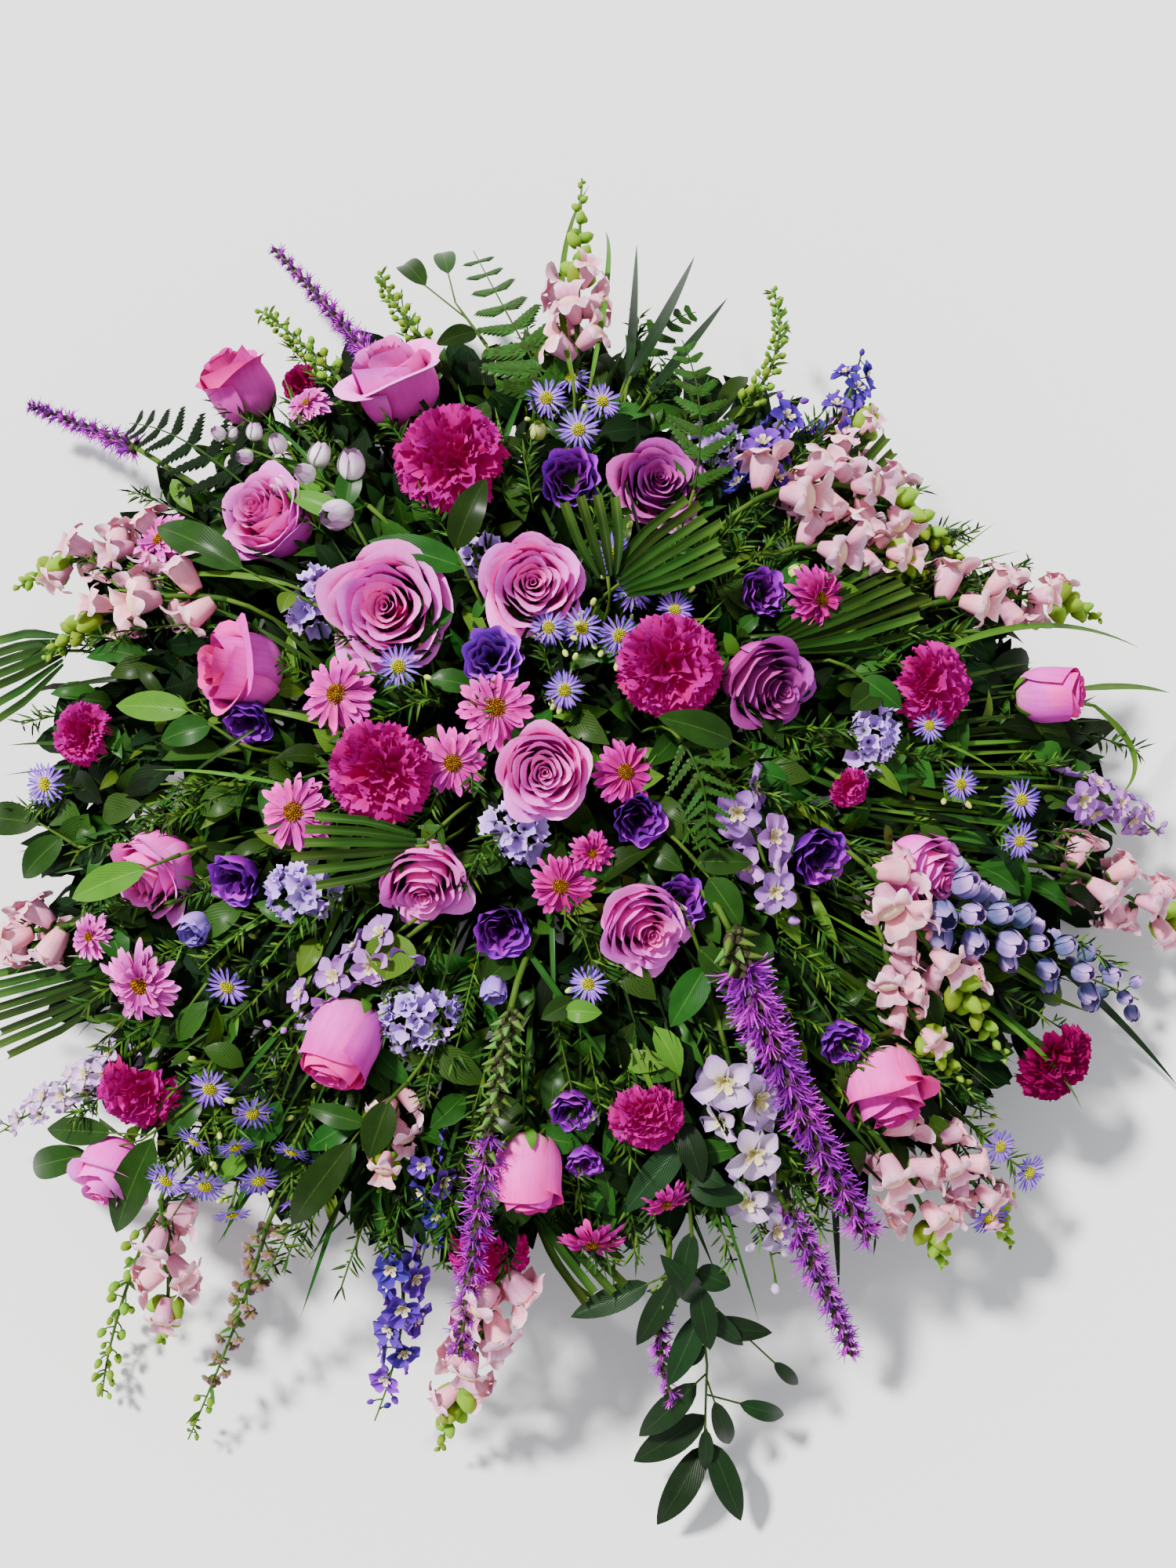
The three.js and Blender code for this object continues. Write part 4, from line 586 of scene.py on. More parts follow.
VIOLET_SKIN = skin("violet cups", (0.04, 0.0, 0.05), (0.13, 0.0, 0.22), (0.40, 0.003, 0.70), (0.03, 0.0, 0.05),
                   veins=0.5, drift=0.5, hue=0.06)
LAVENDER_SKIN = skin("lavender cups", (0.14, 0.005, 0.28), (0.28, 0.012, 0.54), (0.48, 0.06, 0.85), (0.08, 0.0, 0.22),
                     veins=0.4, drift=0.3, hue=0.04)
PALE_SKIN = skin("pale violet cups", (0.30, 0.34, 0.20), (0.30, 0.16, 0.62), (0.40, 0.22, 0.80), (0.2, 0.1, 0.4),
                 veins=0.3, drift=0.2)
BUD_SKIN = skin("cream green buds", (0.14, 0.26, 0.02), (0.50, 0.62, 0.10), (0.72, 0.80, 0.26), (0.3, 0.4, 0.08),
                veins=0.2, drift=0.2)
STEM_SKIN = skin("fresh stems", (0.026, 0.065, 0.009), (0.046, 0.11, 0.013), (0.075, 0.15, 0.02), (0.036, 0.085, 0.012),
                 veins=0.3, drift=0.7, hue=0.05, rough=0.45)


def lisianthus(draw, row, at, radius, axes):
    """Petals and sepals of a cup or a bud."""
    closed, paint = LISIANTHUS_KINDS.get(row[:2], (0.2, 0))
    petals, tones, depths = cup_petals(draw, closed)
    yield laid(petals, at, axes, radius, paint, tones, depths)
    yield laid(sepals(draw, 0.75), at, axes, 0.8 * radius, 3, draw.uniform(0, 1, 5))


def lisianthus_stems(draw, places):
    """Stems that end well below each cup."""
    gaps = np.array([radius / 1.08 for _, radius, _ in places])[:, None]
    return [sheets(tubes(spray_paths(places, gaps), 1.3), 3, 0.4)]


arrange("lisianthus", "spray", 300, LISIANTHUS, lambda row: bloom_spot(row, 2, 0.54), lisianthus,
        lisianthus_stems, (VIOLET_SKIN, BUD_SKIN, PALE_SKIN, STEM_SKIN, LAVENDER_SKIN))

# Daisy mums: pink ray petals in rows round a brown gold eye of small packed florets, on thin branching stems.
# The hot pink ones are smaller; the full ones hang over and hide their eye.
MUMS = {
    "centre": ((430, 885, 116, -0.4, 0.2), (375, 1035, 116, -0.4, 0), (632, 903, 116, 0, 0.1),
               (578, 972, 104, -0.1, -0.2)),
    "right": ((797, 985, 96, 0.4, 0.1), (1045, 765, 104, 0.6, 0.1)),
    "left": ((180, 1255, 128, -0.5, -0.4), (115, 1195, 72, -0.6, 0), (205, 690, 100, -0.6, 0.4),
             (392, 515, 70, -0.4, 0.6)),
    "bottom": ((755, 1585, 100, 0.1, -0.85), (850, 1535, 76, 0.3, -0.8), (715, 1130, 94, 0, -0.3),
               (755, 1088, 64, 0.2, -0.2)),
}
HOT_MUMS = {(715, 1130), (755, 1088), (755, 1585), (850, 1535), (1045, 765), (797, 985)}
FULL_MUMS = {(180, 1255), (115, 1195), (205, 690), (1045, 765), (755, 1088), (392, 515)}
# Whorls of a full and of a flat mum: rays, reach, lift, droop
WHORLS = {True: ((19, 1.0, -0.02, 0.08), (18, 0.94, 0.12, 0.1), (15, 0.76, 0.28, 0.16), (11, 0.52, 0.36, 0.1)),
          False: ((17, 1.0, -0.02, 0.12), (16, 0.93, 0.07, 0.1), (10, 0.82, 0.17, 0.14))}


def rays(turn, start, reach, half, lift, droop, cup, rows=7, cols=5, tip=0.16):
    """Ray petals: distance start + (reach - start) t, t = s (1 - tip v^2); half width rises to full at 0.55;
    height lift s - droop s^2 + cup half v^2."""
    turn, start, reach, half, lift, droop, cup = (
        each(value, len(turn)) for value in (turn, start, reach, half, lift, droop, cup))
    s = np.linspace(0, 1, rows)[None, :, None]
    v = np.linspace(-1, 1, cols)[None, None, :]
    t = s * (1 - tip * v**2)
    away = start + (reach - start) * t
    wide = half * (0.35 + 0.65 * np.sin(0.5 * pi * np.clip(t / 0.55, 0, 1))) * (1 - 0.25 * t**6) * v
    height = lift * s - droop * s**2 + cup * half * v**2
    return around(away, turn, height, wide)


def whorl(draw, count, uneven):
    """Turns of the rays of a whorl, evenly round from a random start, each off by up to uneven."""
    return 2 * pi * np.arange(count) / count + draw.uniform(0, 6) + draw.uniform(-uneven, uneven, count)


def packed_eye(radius, height, count, lift):
    """Florets of a daisy's eye: little five sided cones on a golden spiral over a low dome."""
    k = np.arange(count)
    away = radius * np.sqrt((k + 0.5) / count)
    ats = around(away, GOLDEN * k, height * (1 - (away / radius) ** 2))
    frames = aimed_axes(ats * (0.8, 0.8, 0.0) + (0, 0, radius), (1.0, 0.0, 0.0))
    cone = lathed(((1.0, -0.6), (0.9, 0.5), (0.0, 1.0)), 5)
    return set_in(cone, ats, frames, 0.95 * radius / np.sqrt(count)) + (0, 0, lift)


MUM_SKIN = skin("pink rays", (0.60, 0.12, 0.40), (0.58, 0.015, 0.34), (0.84, 0.05, 0.56), (0.40, 0.008, 0.22),
                veins=0.7, fine=7.0)
HOT_SKIN = skin("hot pink rays", (0.52, 0.03, 0.26), (0.42, 0.0, 0.19), (0.66, 0.008, 0.40), (0.28, 0.0, 0.10),
                veins=0.7, fine=7.0)
LILAC_MUM_SKIN = skin("lilac pink rays", (0.74, 0.22, 0.60), (0.68, 0.05, 0.48), (0.92, 0.17, 0.74), (0.5, 0.03, 0.34),
                      veins=0.7, drift=0.3, fine=7.0)
EYE_SKIN = skin("brown gold eyes", (0.10, 0.02, 0.0), (0.22, 0.07, 0.0), (0.46, 0.24, 0.0), (0.12, 0.02, 0.0),
                veins=0.2, drift=0.9, hue=0.05)


def mum(draw, row, at, radius, axes):
    """Whorls of rays of a daisy mum, its eye and its green back."""
    full = row[:2] in FULL_MUMS
    for count, reach, lift, droop in WHORLS[full]:
        made = rays(whorl(draw, count, 0.14), 0.12, reach * draw.uniform(0.76, 1.0, count),
                    0.1 * draw.uniform(0.8, 1.15, count), lift + draw.uniform(-0.08, 0.08, count),
                    droop + draw.uniform(-0.08, 0.2, count), draw.uniform(0.2, 0.9, count))
        paint = 1 if row[:2] in HOT_MUMS else 4 if full else 0
        yield laid(made, at, axes, radius, paint, draw.uniform(0, 1, count), 1.0 if lift < 0.2 else 0.6)
    back = lathed(((0.0, -0.22), (0.1, -0.2), (0.22, -0.08), (0.26, 0.0), (0.0, 0.03)), 10)
    yield laid(packed_eye(0.24, 0.1, 70, 0.04), at, axes, radius, 2, draw.uniform(0, 1, 70))
    yield laid(back, at, axes, radius, 3)


arrange("mums", "spray", 400, MUMS, lambda row: bloom_spot(row, 4), mum,
        lambda draw, places: [sheets(tubes(spray_paths(places, 4), 1.3), 3, 0.4)],
        (MUM_SKIN, HOT_SKIN, EYE_SKIN, STEM_SKIN, LILAC_MUM_SKIN))

# Asters: sprays of small stars with thin lavender rays, pale at the root, round a bright yellow eye.
# Needle leaves and small green buds sit on their wiry stems.
ASTERS = {
    "top": ((697, 508, 62, 0, 0.3), (738, 548, 62, 0, 0.2), (768, 512, 58, 0.2, 0.4), (728, 482, 56, 0, 0.6)),
    "centre": ((782, 707, 62, 0, 0.2), (808, 754, 62, 0, 0.1), (860, 778, 58, 0.3, 0.2), (742, 800, 64, 0, 0),
               (700, 800, 58, -0.2, 0), (790, 810, 64, 0.1, -0.1), (720, 880, 60, 0, -0.1)),
    "left": ((508, 850, 66, 0, 0), (58, 1000, 70, -0.6, 0), (290, 1258, 66, -0.3, -0.5), (268, 1388, 66, -0.2, -0.5),
             (322, 1420, 62, 0.1, -0.6), (330, 1505, 66, 0.1, -0.7), (262, 1512, 66, -0.1, -0.7),
             (212, 1505, 66, -0.4, -0.6), (300, 1462, 58, 0.2, -0.85), (372, 1468, 60, -0.3, -0.85),
             (248, 1455, 58, -0.5, -0.7), (296, 1548, 58, 0.1, -0.9), (376, 1530, 56, 0.4, -0.85),
             (418, 1478, 54, 0.2, -0.9)),
    "right": ((1185, 925, 50, 0.3, 0), (1225, 1000, 54, 0.4, -0.1), (1302, 1020, 60, 0.4, -0.1),
              (1300, 1072, 56, 0.4, -0.2), (1275, 1462, 56, 0.5, -0.3), (1312, 1495, 60, 0.6, -0.3),
              (1262, 1552, 64, 0.4, -0.6), (750, 1255, 60, 0, 0)),
}
ASTER_BUD = ((0.0, -0.3), (0.3, -0.2), (0.42, 0.3), (0.3, 0.8), (0.0, 1.0))


def leafy(roots, tips, half, rows=6, cols=3, bow=0.08, fold=0.15, face=(0.0, 0.0, 1.0), widest=0.45, pointed=1.0):
    """Leaf blades: the middle line bows off the straight run by bow sin(pi s), the half width follows
    s^a (1 - s)^b with its peak at widest, and both halves rise from the midrib by fold |v|."""
    roots, tips = np.atleast_2d(roots), np.atleast_2d(tips)
    run = tips - roots
    aside = unit(np.cross(run, np.broadcast_to(face, roots.shape)) + 1e-6)
    flat = unit(np.cross(aside, run))[:, None, None]
    s, v = np.linspace(0.0, 1.0, rows), np.linspace(-1, 1, cols)[None, None, :, None]
    a = pointed * widest / (1 - widest)
    profile = np.clip(s, 1e-3, 1) ** a * np.clip(1 - s, 0, 1) ** pointed / (widest**a * (1 - widest) ** pointed)
    half = each(half, len(roots))[..., None] * np.maximum(profile, 0.02)[None, :, None, None]
    bow = each(bow, len(roots))[..., None] * np.linalg.norm(run, axis=-1)[:, None, None, None]
    s = s[None, :, None, None]
    middle = roots[:, None, None] + run[:, None, None] * s + flat * bow * np.sin(pi * s)
    return middle + aside[:, None, None] * half * v + flat * half * fold * np.abs(v)


def needles(paths, per_path, long, half, draw, low=0.45):
    """Needle leaves set off thin stems: each starts on its path past the share low and points out and on."""
    count = len(paths) * per_path
    steps = paths.shape[1] - 1
    share = draw.uniform(low, 0.97, count) * steps
    which = np.repeat(np.arange(len(paths)), per_path)
    whole = np.minimum(share.astype(int), steps - 1)
    run = paths[which, whole + 1] - paths[which, whole]
    root = paths[which, whole] + run * (share - whole)[:, None]
    run = unit(run)
    off = unit(np.cross(run, draw.normal(size=(count, 3))))
    tip = root + (unit(run * 0.7 + off) * draw.uniform(0.5, 1.0, (count, 1))) * long
    tip[:, 2] = np.maximum(tip[:, 2], 2.0)
    return leafy(root, tip, half, rows=4, bow=0.12, widest=0.4)


ASTER_SKIN = skin("lavender rays", (0.66, 0.52, 0.88), (0.30, 0.12, 0.72), (0.18, 0.045, 0.58), (0.26, 0.10, 0.60),
                  veins=0.3, fine=4.0)
YELLOW_SKIN = skin("yellow eyes", (0.20, 0.26, 0.0), (0.46, 0.42, 0.0), (0.72, 0.62, 0.0), (0.4, 0.35, 0.0),
                   veins=0.2, drift=0.6)


def aster(draw, row, at, radius, axes):
    """Two whorls of rays, the eye and the back of an aster."""
    for count, reach, lift in ((18, 1.0, 0.02), (15, 0.88, 0.14)):
        made = rays(whorl(draw, count, 0.1), 0.14, reach * draw.uniform(0.8, 1.0, count), 0.05, lift,
                    draw.uniform(-0.08, 0.1, count), 0.3, rows=5, cols=3, tip=0.2)
        yield laid(made, at, axes, radius, 0, draw.uniform(0, 1, count))
    back = lathed(((0.0, -0.34), (0.12, -0.3), (0.24, -0.1), (0.22, 0.02), (0.0, 0.05)), 8)
    yield laid(packed_eye(0.27, 0.12, 40, 0.06), at, axes, radius, 1, draw.uniform(0, 1, 40))
    yield laid(back, at, axes, radius, 2, 0.6)


def aster_stems(draw, places):
    """Wiry stems of a spray with their needle leaves, and twigs that end in buds."""
    paths = spray_paths(places, 4)
    leaves = sheets(needles(paths, 26, 17.0, 0.8, draw), 2, draw.uniform(0, 1, 26 * len(paths)))
    twigs = needles(paths, 4, 24.0, 0.5, draw, 0.5)
    ends = twigs[:, -1, 1]
    frames = aimed_axes(ends - twigs[:, 0, 1], (0.3, 0.2, 1.0))
    buds = laid(lathed(ASTER_BUD, 7), ends, frames, 4.4, 3, draw.uniform(0, 1, len(ends)))
    return [sheets(tubes(paths, 0.9), 2), leaves, sheets(twigs, 2, 0.6), buds]


arrange("asters", "spray", 500, ASTERS, lambda row: bloom_spot(row, 6), aster, aster_stems,
        (ASTER_SKIN, YELLOW_SKIN, STEM_SKIN, BUD_SKIN))

# Statice: papery pale lavender funnels with crimped rims, dry to the touch and packed in uneven heads.
# Each sits on a thin twig, and the twigs of a spray join into one green stem that stands in the foam.
STATICE = {
    "left": ((535, 1298, 92, 0, -0.4), (398, 768, 64, -0.4, 0.2), (612, 712, 56, 0, 0.2), (385, 1135, 78, -0.3, -0.3),
             (660, 1062, 70, 0, -0.2)),
    "right": ((1112, 940, 74, 0.5, 0), (915, 572, 60, 0.2, 0.5)),
}
FUNNEL_SIZE = 6.6
STATICE_SKIN = skin("papery funnels", (0.30, 0.26, 0.34), (0.48, 0.27, 0.76), (0.62, 0.42, 0.96), (0.34, 0.24, 0.6),
                    veins=0.5, fine=40.0, rough=0.75)


def funnel():
    """Crimped funnel: radius 0.15 + 0.85 s^1.5, height 1.3 s, five lobes and ten crimps at the rim."""
    s, turn = np.linspace(0, 1, 6)[:, None], np.linspace(0, 2 * pi, 21)[None, :]
    radius = (0.15 + 0.85 * s**1.5) * (1 + 0.14 * s * np.cos(5 * turn))
    return around(radius, turn, 1.3 * s - 0.25 * s**4 + 0.14 * s**3 * np.cos(10 * turn))


def statice(draw, row, at, radius, axes):
    """Funnels packed over an uneven low dome, each on its twig."""
    count = int(19 * (row[2] / 80) ** 2)
    k = np.arange(count)
    polar = radians(84) * np.sqrt((k + 0.5) / count)
    z = around(np.sin(polar), GOLDEN * k, np.cos(polar))
    uneven = 0.72 + 0.16 * np.sin(2 * GOLDEN * k + draw.uniform(0, 6)) + 0.1 * np.sin(5 * GOLDEN * k)
    florets = z * (1.0, 0.8, 0.22) * uneven[:, None] + draw.uniform(-0.14, 0.14, (count, 3))
    centres = at + radius * (florets @ axes)
    size = FUNNEL_SIZE * draw.uniform(0.7, 1.3, count)
    yield laid(funnel(), centres, aimed_axes(z @ axes, axes[0]), size, 0, draw.uniform(0, 1, count))
    base = at - 0.55 * radius * axes[2] + 0 * centres
    yield sheets(tubes(np.stack([base, 0.5 * (base + centres), centres], 1), 0.7, 4), 1)


arrange("statice", "spray", 600, STATICE, lambda row: bloom_spot(row, -4), statice,
        lambda draw, places: [sheets(tubes(spray_paths(places, 8), 1.4), 1)], (STATICE_SKIN, STEM_SKIN))

# Snapdragons: spikes of pale pink two lipped florets, yellow at the throat, that give way to green buds.
# Rows: three places from foot to tip with lifts, then the width at the foot.
SNAPDRAGONS = {
    "upper": ((735, 470, 10, 738, 340, 55, 742, 228, 85, 84), (1030, 650, -12, 1085, 570, -4, 1112, 520, 4, 80),
              (960, 640, 12, 1100, 625, 18, 1228, 722, 4, 108), (1010, 700, 2, 1110, 700, 6, 1180, 735, 0, 84),
              (1190, 770, 0, 1310, 762, 2, 1404, 790, -4, 90)),
    "right": ((1360, 1110, 0, 1450, 1150, 0, 1530, 1212, -6, 104), (1105, 1105, 12, 1190, 1215, 10, 1285, 1352, 0, 92),
              (1130, 1210, 4, 1160, 1290, 2, 1238, 1388, 0, 80), (1110, 1440, 2, 1172, 1530, 0, 1202, 1615, -4, 118),
              (1190, 1450, 0, 1250, 1520, 0, 1290, 1590, -4, 70)),
    "left": ((290, 765, 4, 160, 772, 4, 58, 842, -2, 96), (240, 690, -8, 120, 708, -8, 18, 752, -12, 84),
             (90, 1180, -4, 10, 1195, -8, -60, 1216, -10, 92)),
    "bottom": ((205, 1530, 0, 215, 1630, -4, 205, 1712, -8, 86), (505, 1380, -8, 498, 1450, -8, 485, 1525, -10, 72),
               (645, 1610, -6, 600, 1735, -8, 560, 1850, -10, 92)),
}
LARGEST_LIPS, TIP_BUDS = 23.0, 15
BUD = ((0.0, 0.0), (0.26, 0.12), (0.36, 0.42), (0.26, 0.78), (0.08, 0.98), (0.0, 1.0))


def three_places(row):
    """Foot, middle and tip of a row."""
    return [placed(*row[k:k + 3]) for k in (0, 3, 6)]


def spike_line(row, steps=25):
    """Smooth line through the three places of a row; returns points, directions, half width and length."""
    foot, middle, tip = three_places(row)
    s = np.linspace(0, 1, steps)[:, None]
    line = (1 - s) ** 2 * foot + 2 * s * (1 - s) * (2 * middle - 0.5 * (foot + tip)) + s**2 * tip
    long = np.linalg.norm(np.diff(line, axis=0), axis=1).sum()
    return line, unit(np.gradient(line, axis=0)), 0.5 * row[9] * picture_scale(middle), long


def along_line(line, share):
    """Points on a line at shares of its steps."""
    at = np.clip(share, 0, 1) * (len(line) - 1)
    whole = np.minimum(at.astype(int), len(line) - 2)
    return line[whole] + (line[whole + 1] - line[whole]) * (at - whole)[:, None]


def spiral(run, share, start=0.0):
    """Direction of the spike and of the floret outwards at shares of a spike, by golden turns."""
    turn = (GOLDEN * np.arange(len(share)) + start)[:, None]
    direction = along_line(run, share)
    frames = aimed_axes(direction, (0.3, 0.1, 1.0))
    return direction, frames[:, 0] * np.cos(turn) + frames[:, 1] * np.sin(turn)


def rachis(line, thick, thin, paint, tone=0.5):
    """Stem of a spike or frond, thick at its foot and thin at its tip."""
    return sheets(tubes(line, np.linspace(thick, thin, len(line))), paint, tone)


def spike_stems(places, thick, paint):
    """Stems from the foam to the feet of a bunch of spikes."""
    tips, ways = (np.array([place[k][0] for place in places]) for k in (0, 1))
    return [sheets(tubes(stem_paths(tips, -40 * ways, spray_start(tips)), thick), paint, 0.4)]


def lipped_floret():
    """Two lipped floret along z, y towards the spike's tip: a swelling tube, two broad ruffled upper lobes that
    stand up, three rounder lower lobes that roll back, and a two humped palate that closes the throat."""
    path = np.zeros((5, 4, 2))
    path[:, 0] = (0.30, 0.70)
    path[:2, 1:] = ((0.33, 0.92), (0.34, 1.16), (0.66, 1.30))
    path[2:, 1:] = ((0.38, 0.94), (0.56, 1.02), (0.68, 0.72))
    lobes = rolled(np.radians((124, 56, 208, 332, 270)), (0.78, 0.78, 0.56, 0.56, 0.54), path, 7, 9, rounded=0.32,
                   corner=2.6, curl=0.06, fold=0.5, wave=0.055, phase=(0.0, 3.1, 1.0, 4.0, 2.0), cycles=1.7)
    tube = lathed(((0.0, 0.0), (0.20, 0.05), (0.29, 0.34), (0.37, 0.84)), 10)[None]
    palate = lathed(((0.36, 0.0), (0.30, 0.13), (0.16, 0.21), (0.0, 0.21)), 10, 2, 0.3)[None] + (0, -0.06, 0.76)
    return (0, lobes, 0.9), (0, tube, 0.6), (3, palate, 0.6)


SNAP_SKIN = skin("pale pink lips", (0.66, 0.13, 0.28), (0.84, 0.38, 0.50), (0.95, 0.62, 0.76), (0.62, 0.14, 0.30),
                 veins=0.6, drift=0.3, hue=0.05, fine=16.0)
PALATE_SKIN = skin("cream palates", (0.74, 0.36, 0.40), (0.80, 0.46, 0.44), (0.82, 0.60, 0.34), (0.8, 0.5, 0.3),
                   veins=0.1, drift=0.4)
GREEN_BUD_SKIN = skin("yellow green buds", (0.06, 0.17, 0.01), (0.20, 0.34, 0.02), (0.46, 0.50, 0.08), (0.1, 0.2, 0.02),
                      veins=0.25, drift=0.5, hue=0.04)


def snapdragon(draw, row, line, run, half, long):
    """Open florets up to the share far of a spike, then buds, the rachis and the florets' calyces."""
    far = 0.4 if row[:2] == (735, 470) else 0.66
    small = min(half, LARGEST_LIPS)
    count = int(max(far * long / small * 1.9 * (half / small), 7))
    share = 0.01 + far * (np.arange(count) + 0.5) / count
    direction, off = spiral(run, share)
    z = unit(off + 0.8 * direction)
    size = small * (1.06 - 0.4 * share) * draw.uniform(0.88, 1.1, count)
    centres = along_line(line, share) + off * (1.2 + draw.uniform(0.5, 1.0, (count, 1)) * (half - small))
    for paint, part, depth in lipped_floret():
        tones = np.repeat(draw.uniform(0, 1, count), len(part))
        yield laid(part, centres, aimed_axes(z, direction), size, paint, tones, depth)
    share = far - 0.04 + (1.04 - far) * (np.arange(TIP_BUDS) + 0.5) / TIP_BUDS
    direction, off = spiral(run, share, 1)
    size = small * (0.78 - 0.6 * (share - far) / (1 - far))
    frames = aimed_axes(off + 0.8 * direction, direction)
    yield laid(lathed(BUD, 9, 3, 0.06), along_line(line, share), frames, size, 1, draw.uniform(0, 1, TIP_BUDS))
    yield rachis(line, 2.2, 0.8, 2, 0.6)
    calyx = lathed(((0.0, 0.0), (0.3, 0.05), (0.34, 0.3), (0.3, 0.34)), 8, 5, 0.2)
    yield laid(calyx, centres, aimed_axes(z, run[0]), 0.5 * small, 2, 0.7)


arrange("snapdragons", "spikes", 700, SNAPDRAGONS, spike_line, snapdragon,
        lambda draw, places: spike_stems(places, 1.6, 2), (SNAP_SKIN, GREEN_BUD_SKIN, STEM_SKIN, PALATE_SKIN))

# Larkspurs: airy spikes of crumpled five sepalled florets on thin stalks, blue, lavender or nearly white,
# with buds at the tip; a few rows carry only green buds or have browned. Rows as for the snapdragons, then kind:
# 0 blue, 1 lavender, 2 whitish, 3 green buds, 4 browned, 5 blue grey bells, 6 white bells.
LARKSPURS = {
    "upper": ((960, 640, -8, 985, 560, 0, 1012, 505, 6, 72, 0), (1050, 570, -6, 1082, 505, 4, 1098, 452, 12, 66, 0),
              (950, 520, 0, 992, 440, 14, 984, 368, 20, 34, 3), (545, 440, 0, 505, 388, 8, 486, 350, 12, 36, 3)),
    "left": ((470, 645, 2, 360, 590, 8, 272, 560, 8, 64, 6), (520, 1195, 2, 430, 1250, 0, 325, 1345, -4, 74, 1),
             (165, 1345, -4, 80, 1395, -6, -12, 1452, -8, 54, 2), (430, 480, 2, 375, 430, 8, 332, 396, 12, 36, 3)),
    "right": ((930, 1000, 2, 972, 1090, 6, 992, 1185, 0, 84, 1),
              (1180, 1140, -2, 1300, 1205, -4, 1452, 1275, -8, 82, 5),
              (1350, 1005, 0, 1430, 1030, 0, 1478, 1066, -4, 62, 1),
              (925, 1335, 2, 958, 1480, -4, 992, 1645, -6, 92, 2)),
    "bottom": ((195, 1555, -4, 150, 1680, -6, 130, 1782, -8, 52, 3),
               (342, 1560, -6, 300, 1690, -8, 240, 1836, -8, 50, 4),
               (505, 1590, -8, 512, 1690, -8, 478, 1812, -8, 66, 0),
               (540, 1455, -8, 555, 1530, -8, 552, 1605, -8, 56, 0)),
}
# Florets to a half width of the spike, size of a bud and its paint, for each kind
CROWDING = (2.0, 2.0, 2.0, 2.6, 2.0, 3.4, 1.5)
BUD_SIZE = (1.0, 1.0, 1.0, 1.3, 1.3, 1.6, 2.0)
BUD_PAINT = (0, 1, 2, 5, 5, 7, 8)
LARKSPUR_SKINS = (
    skin("blue florets", (0.16, 0.12, 0.42), (0.09, 0.015, 0.32), (0.15, 0.03, 0.46), (0.1, 0.04, 0.34), veins=0.5,
         drift=0.5, hue=0.05, fine=14.0),
    skin("lilac florets", (0.52, 0.40, 0.56), (0.44, 0.17, 0.60), (0.40, 0.13, 0.62), (0.4, 0.2, 0.5), veins=0.5,
         drift=0.4, fine=14.0),
    skin("whitish florets", (0.40, 0.44, 0.30), (0.62, 0.46, 0.72), (0.42, 0.20, 0.66), (0.5, 0.4, 0.5), veins=0.4,
         drift=0.4, fine=14.0),
    skin("browned florets", (0.16, 0.18, 0.04), (0.20, 0.12, 0.08), (0.30, 0.18, 0.34), (0.2, 0.14, 0.06), veins=0.4,
         drift=0.5),
    skin("cream hearts", (0.4, 0.32, 0.06), (0.72, 0.58, 0.22), (0.80, 0.72, 0.44), (0.5, 0.4, 0.1), veins=0.2,
         drift=0.4),
    GREEN_BUD_SKIN, STEM_SKIN,
    skin("blue grey bells", (0.16, 0.24, 0.24), (0.13, 0.12, 0.34), (0.42, 0.26, 0.60), (0.2, 0.2, 0.36), veins=0.6,
         drift=0.7, hue=0.08, fine=8.0),
    skin("pearl bells", (0.34, 0.42, 0.24), (0.74, 0.66, 0.72), (0.48, 0.26, 0.50), (0.5, 0.4, 0.5), veins=0.6,
         drift=0.3, fine=8.0),
)


def sepal_star(draw):
    """Five broad sepals crumpled by 0.05 r^2 sin(9 x + 7 y), and a knot of four small inner petals on z."""
    turn = 2 * pi * np.arange(5) / 5 + draw.uniform(-0.15, 0.15, 5)
    outer = rays(turn, 0.05, draw.uniform(0.85, 1.0, 5), 0.36, 0.12, draw.uniform(-0.25, 0.15, 5), 0.5, rows=6, tip=0.3)
    x, y = outer[..., 0], outer[..., 1]
    outer[..., 2] += 0.05 * np.sin(9 * x + 7 * y) * (x**2 + y**2)
    return outer, rays(0.5 * pi * np.arange(4) + 0.4, 0.0, 0.36, 0.14, 0.3, 0.05, 0.2, rows=3, cols=3)


def bell_petals(draw):
    """Closed floret: five overlapping petals that swell from the stalk and draw in again at the tip."""
    path = bent(5, (0.03, 0.0), (0.58, 0.02), (0.62, 0.76), (0.26, 1.18))
    return rolled(2 * pi * np.arange(5) / 5, 0.84, path, 8, 7, rounded=0.16, spiral=0.12, wave=0.03,
                  phase=draw.uniform(0, 6, 5), twist=0.3)


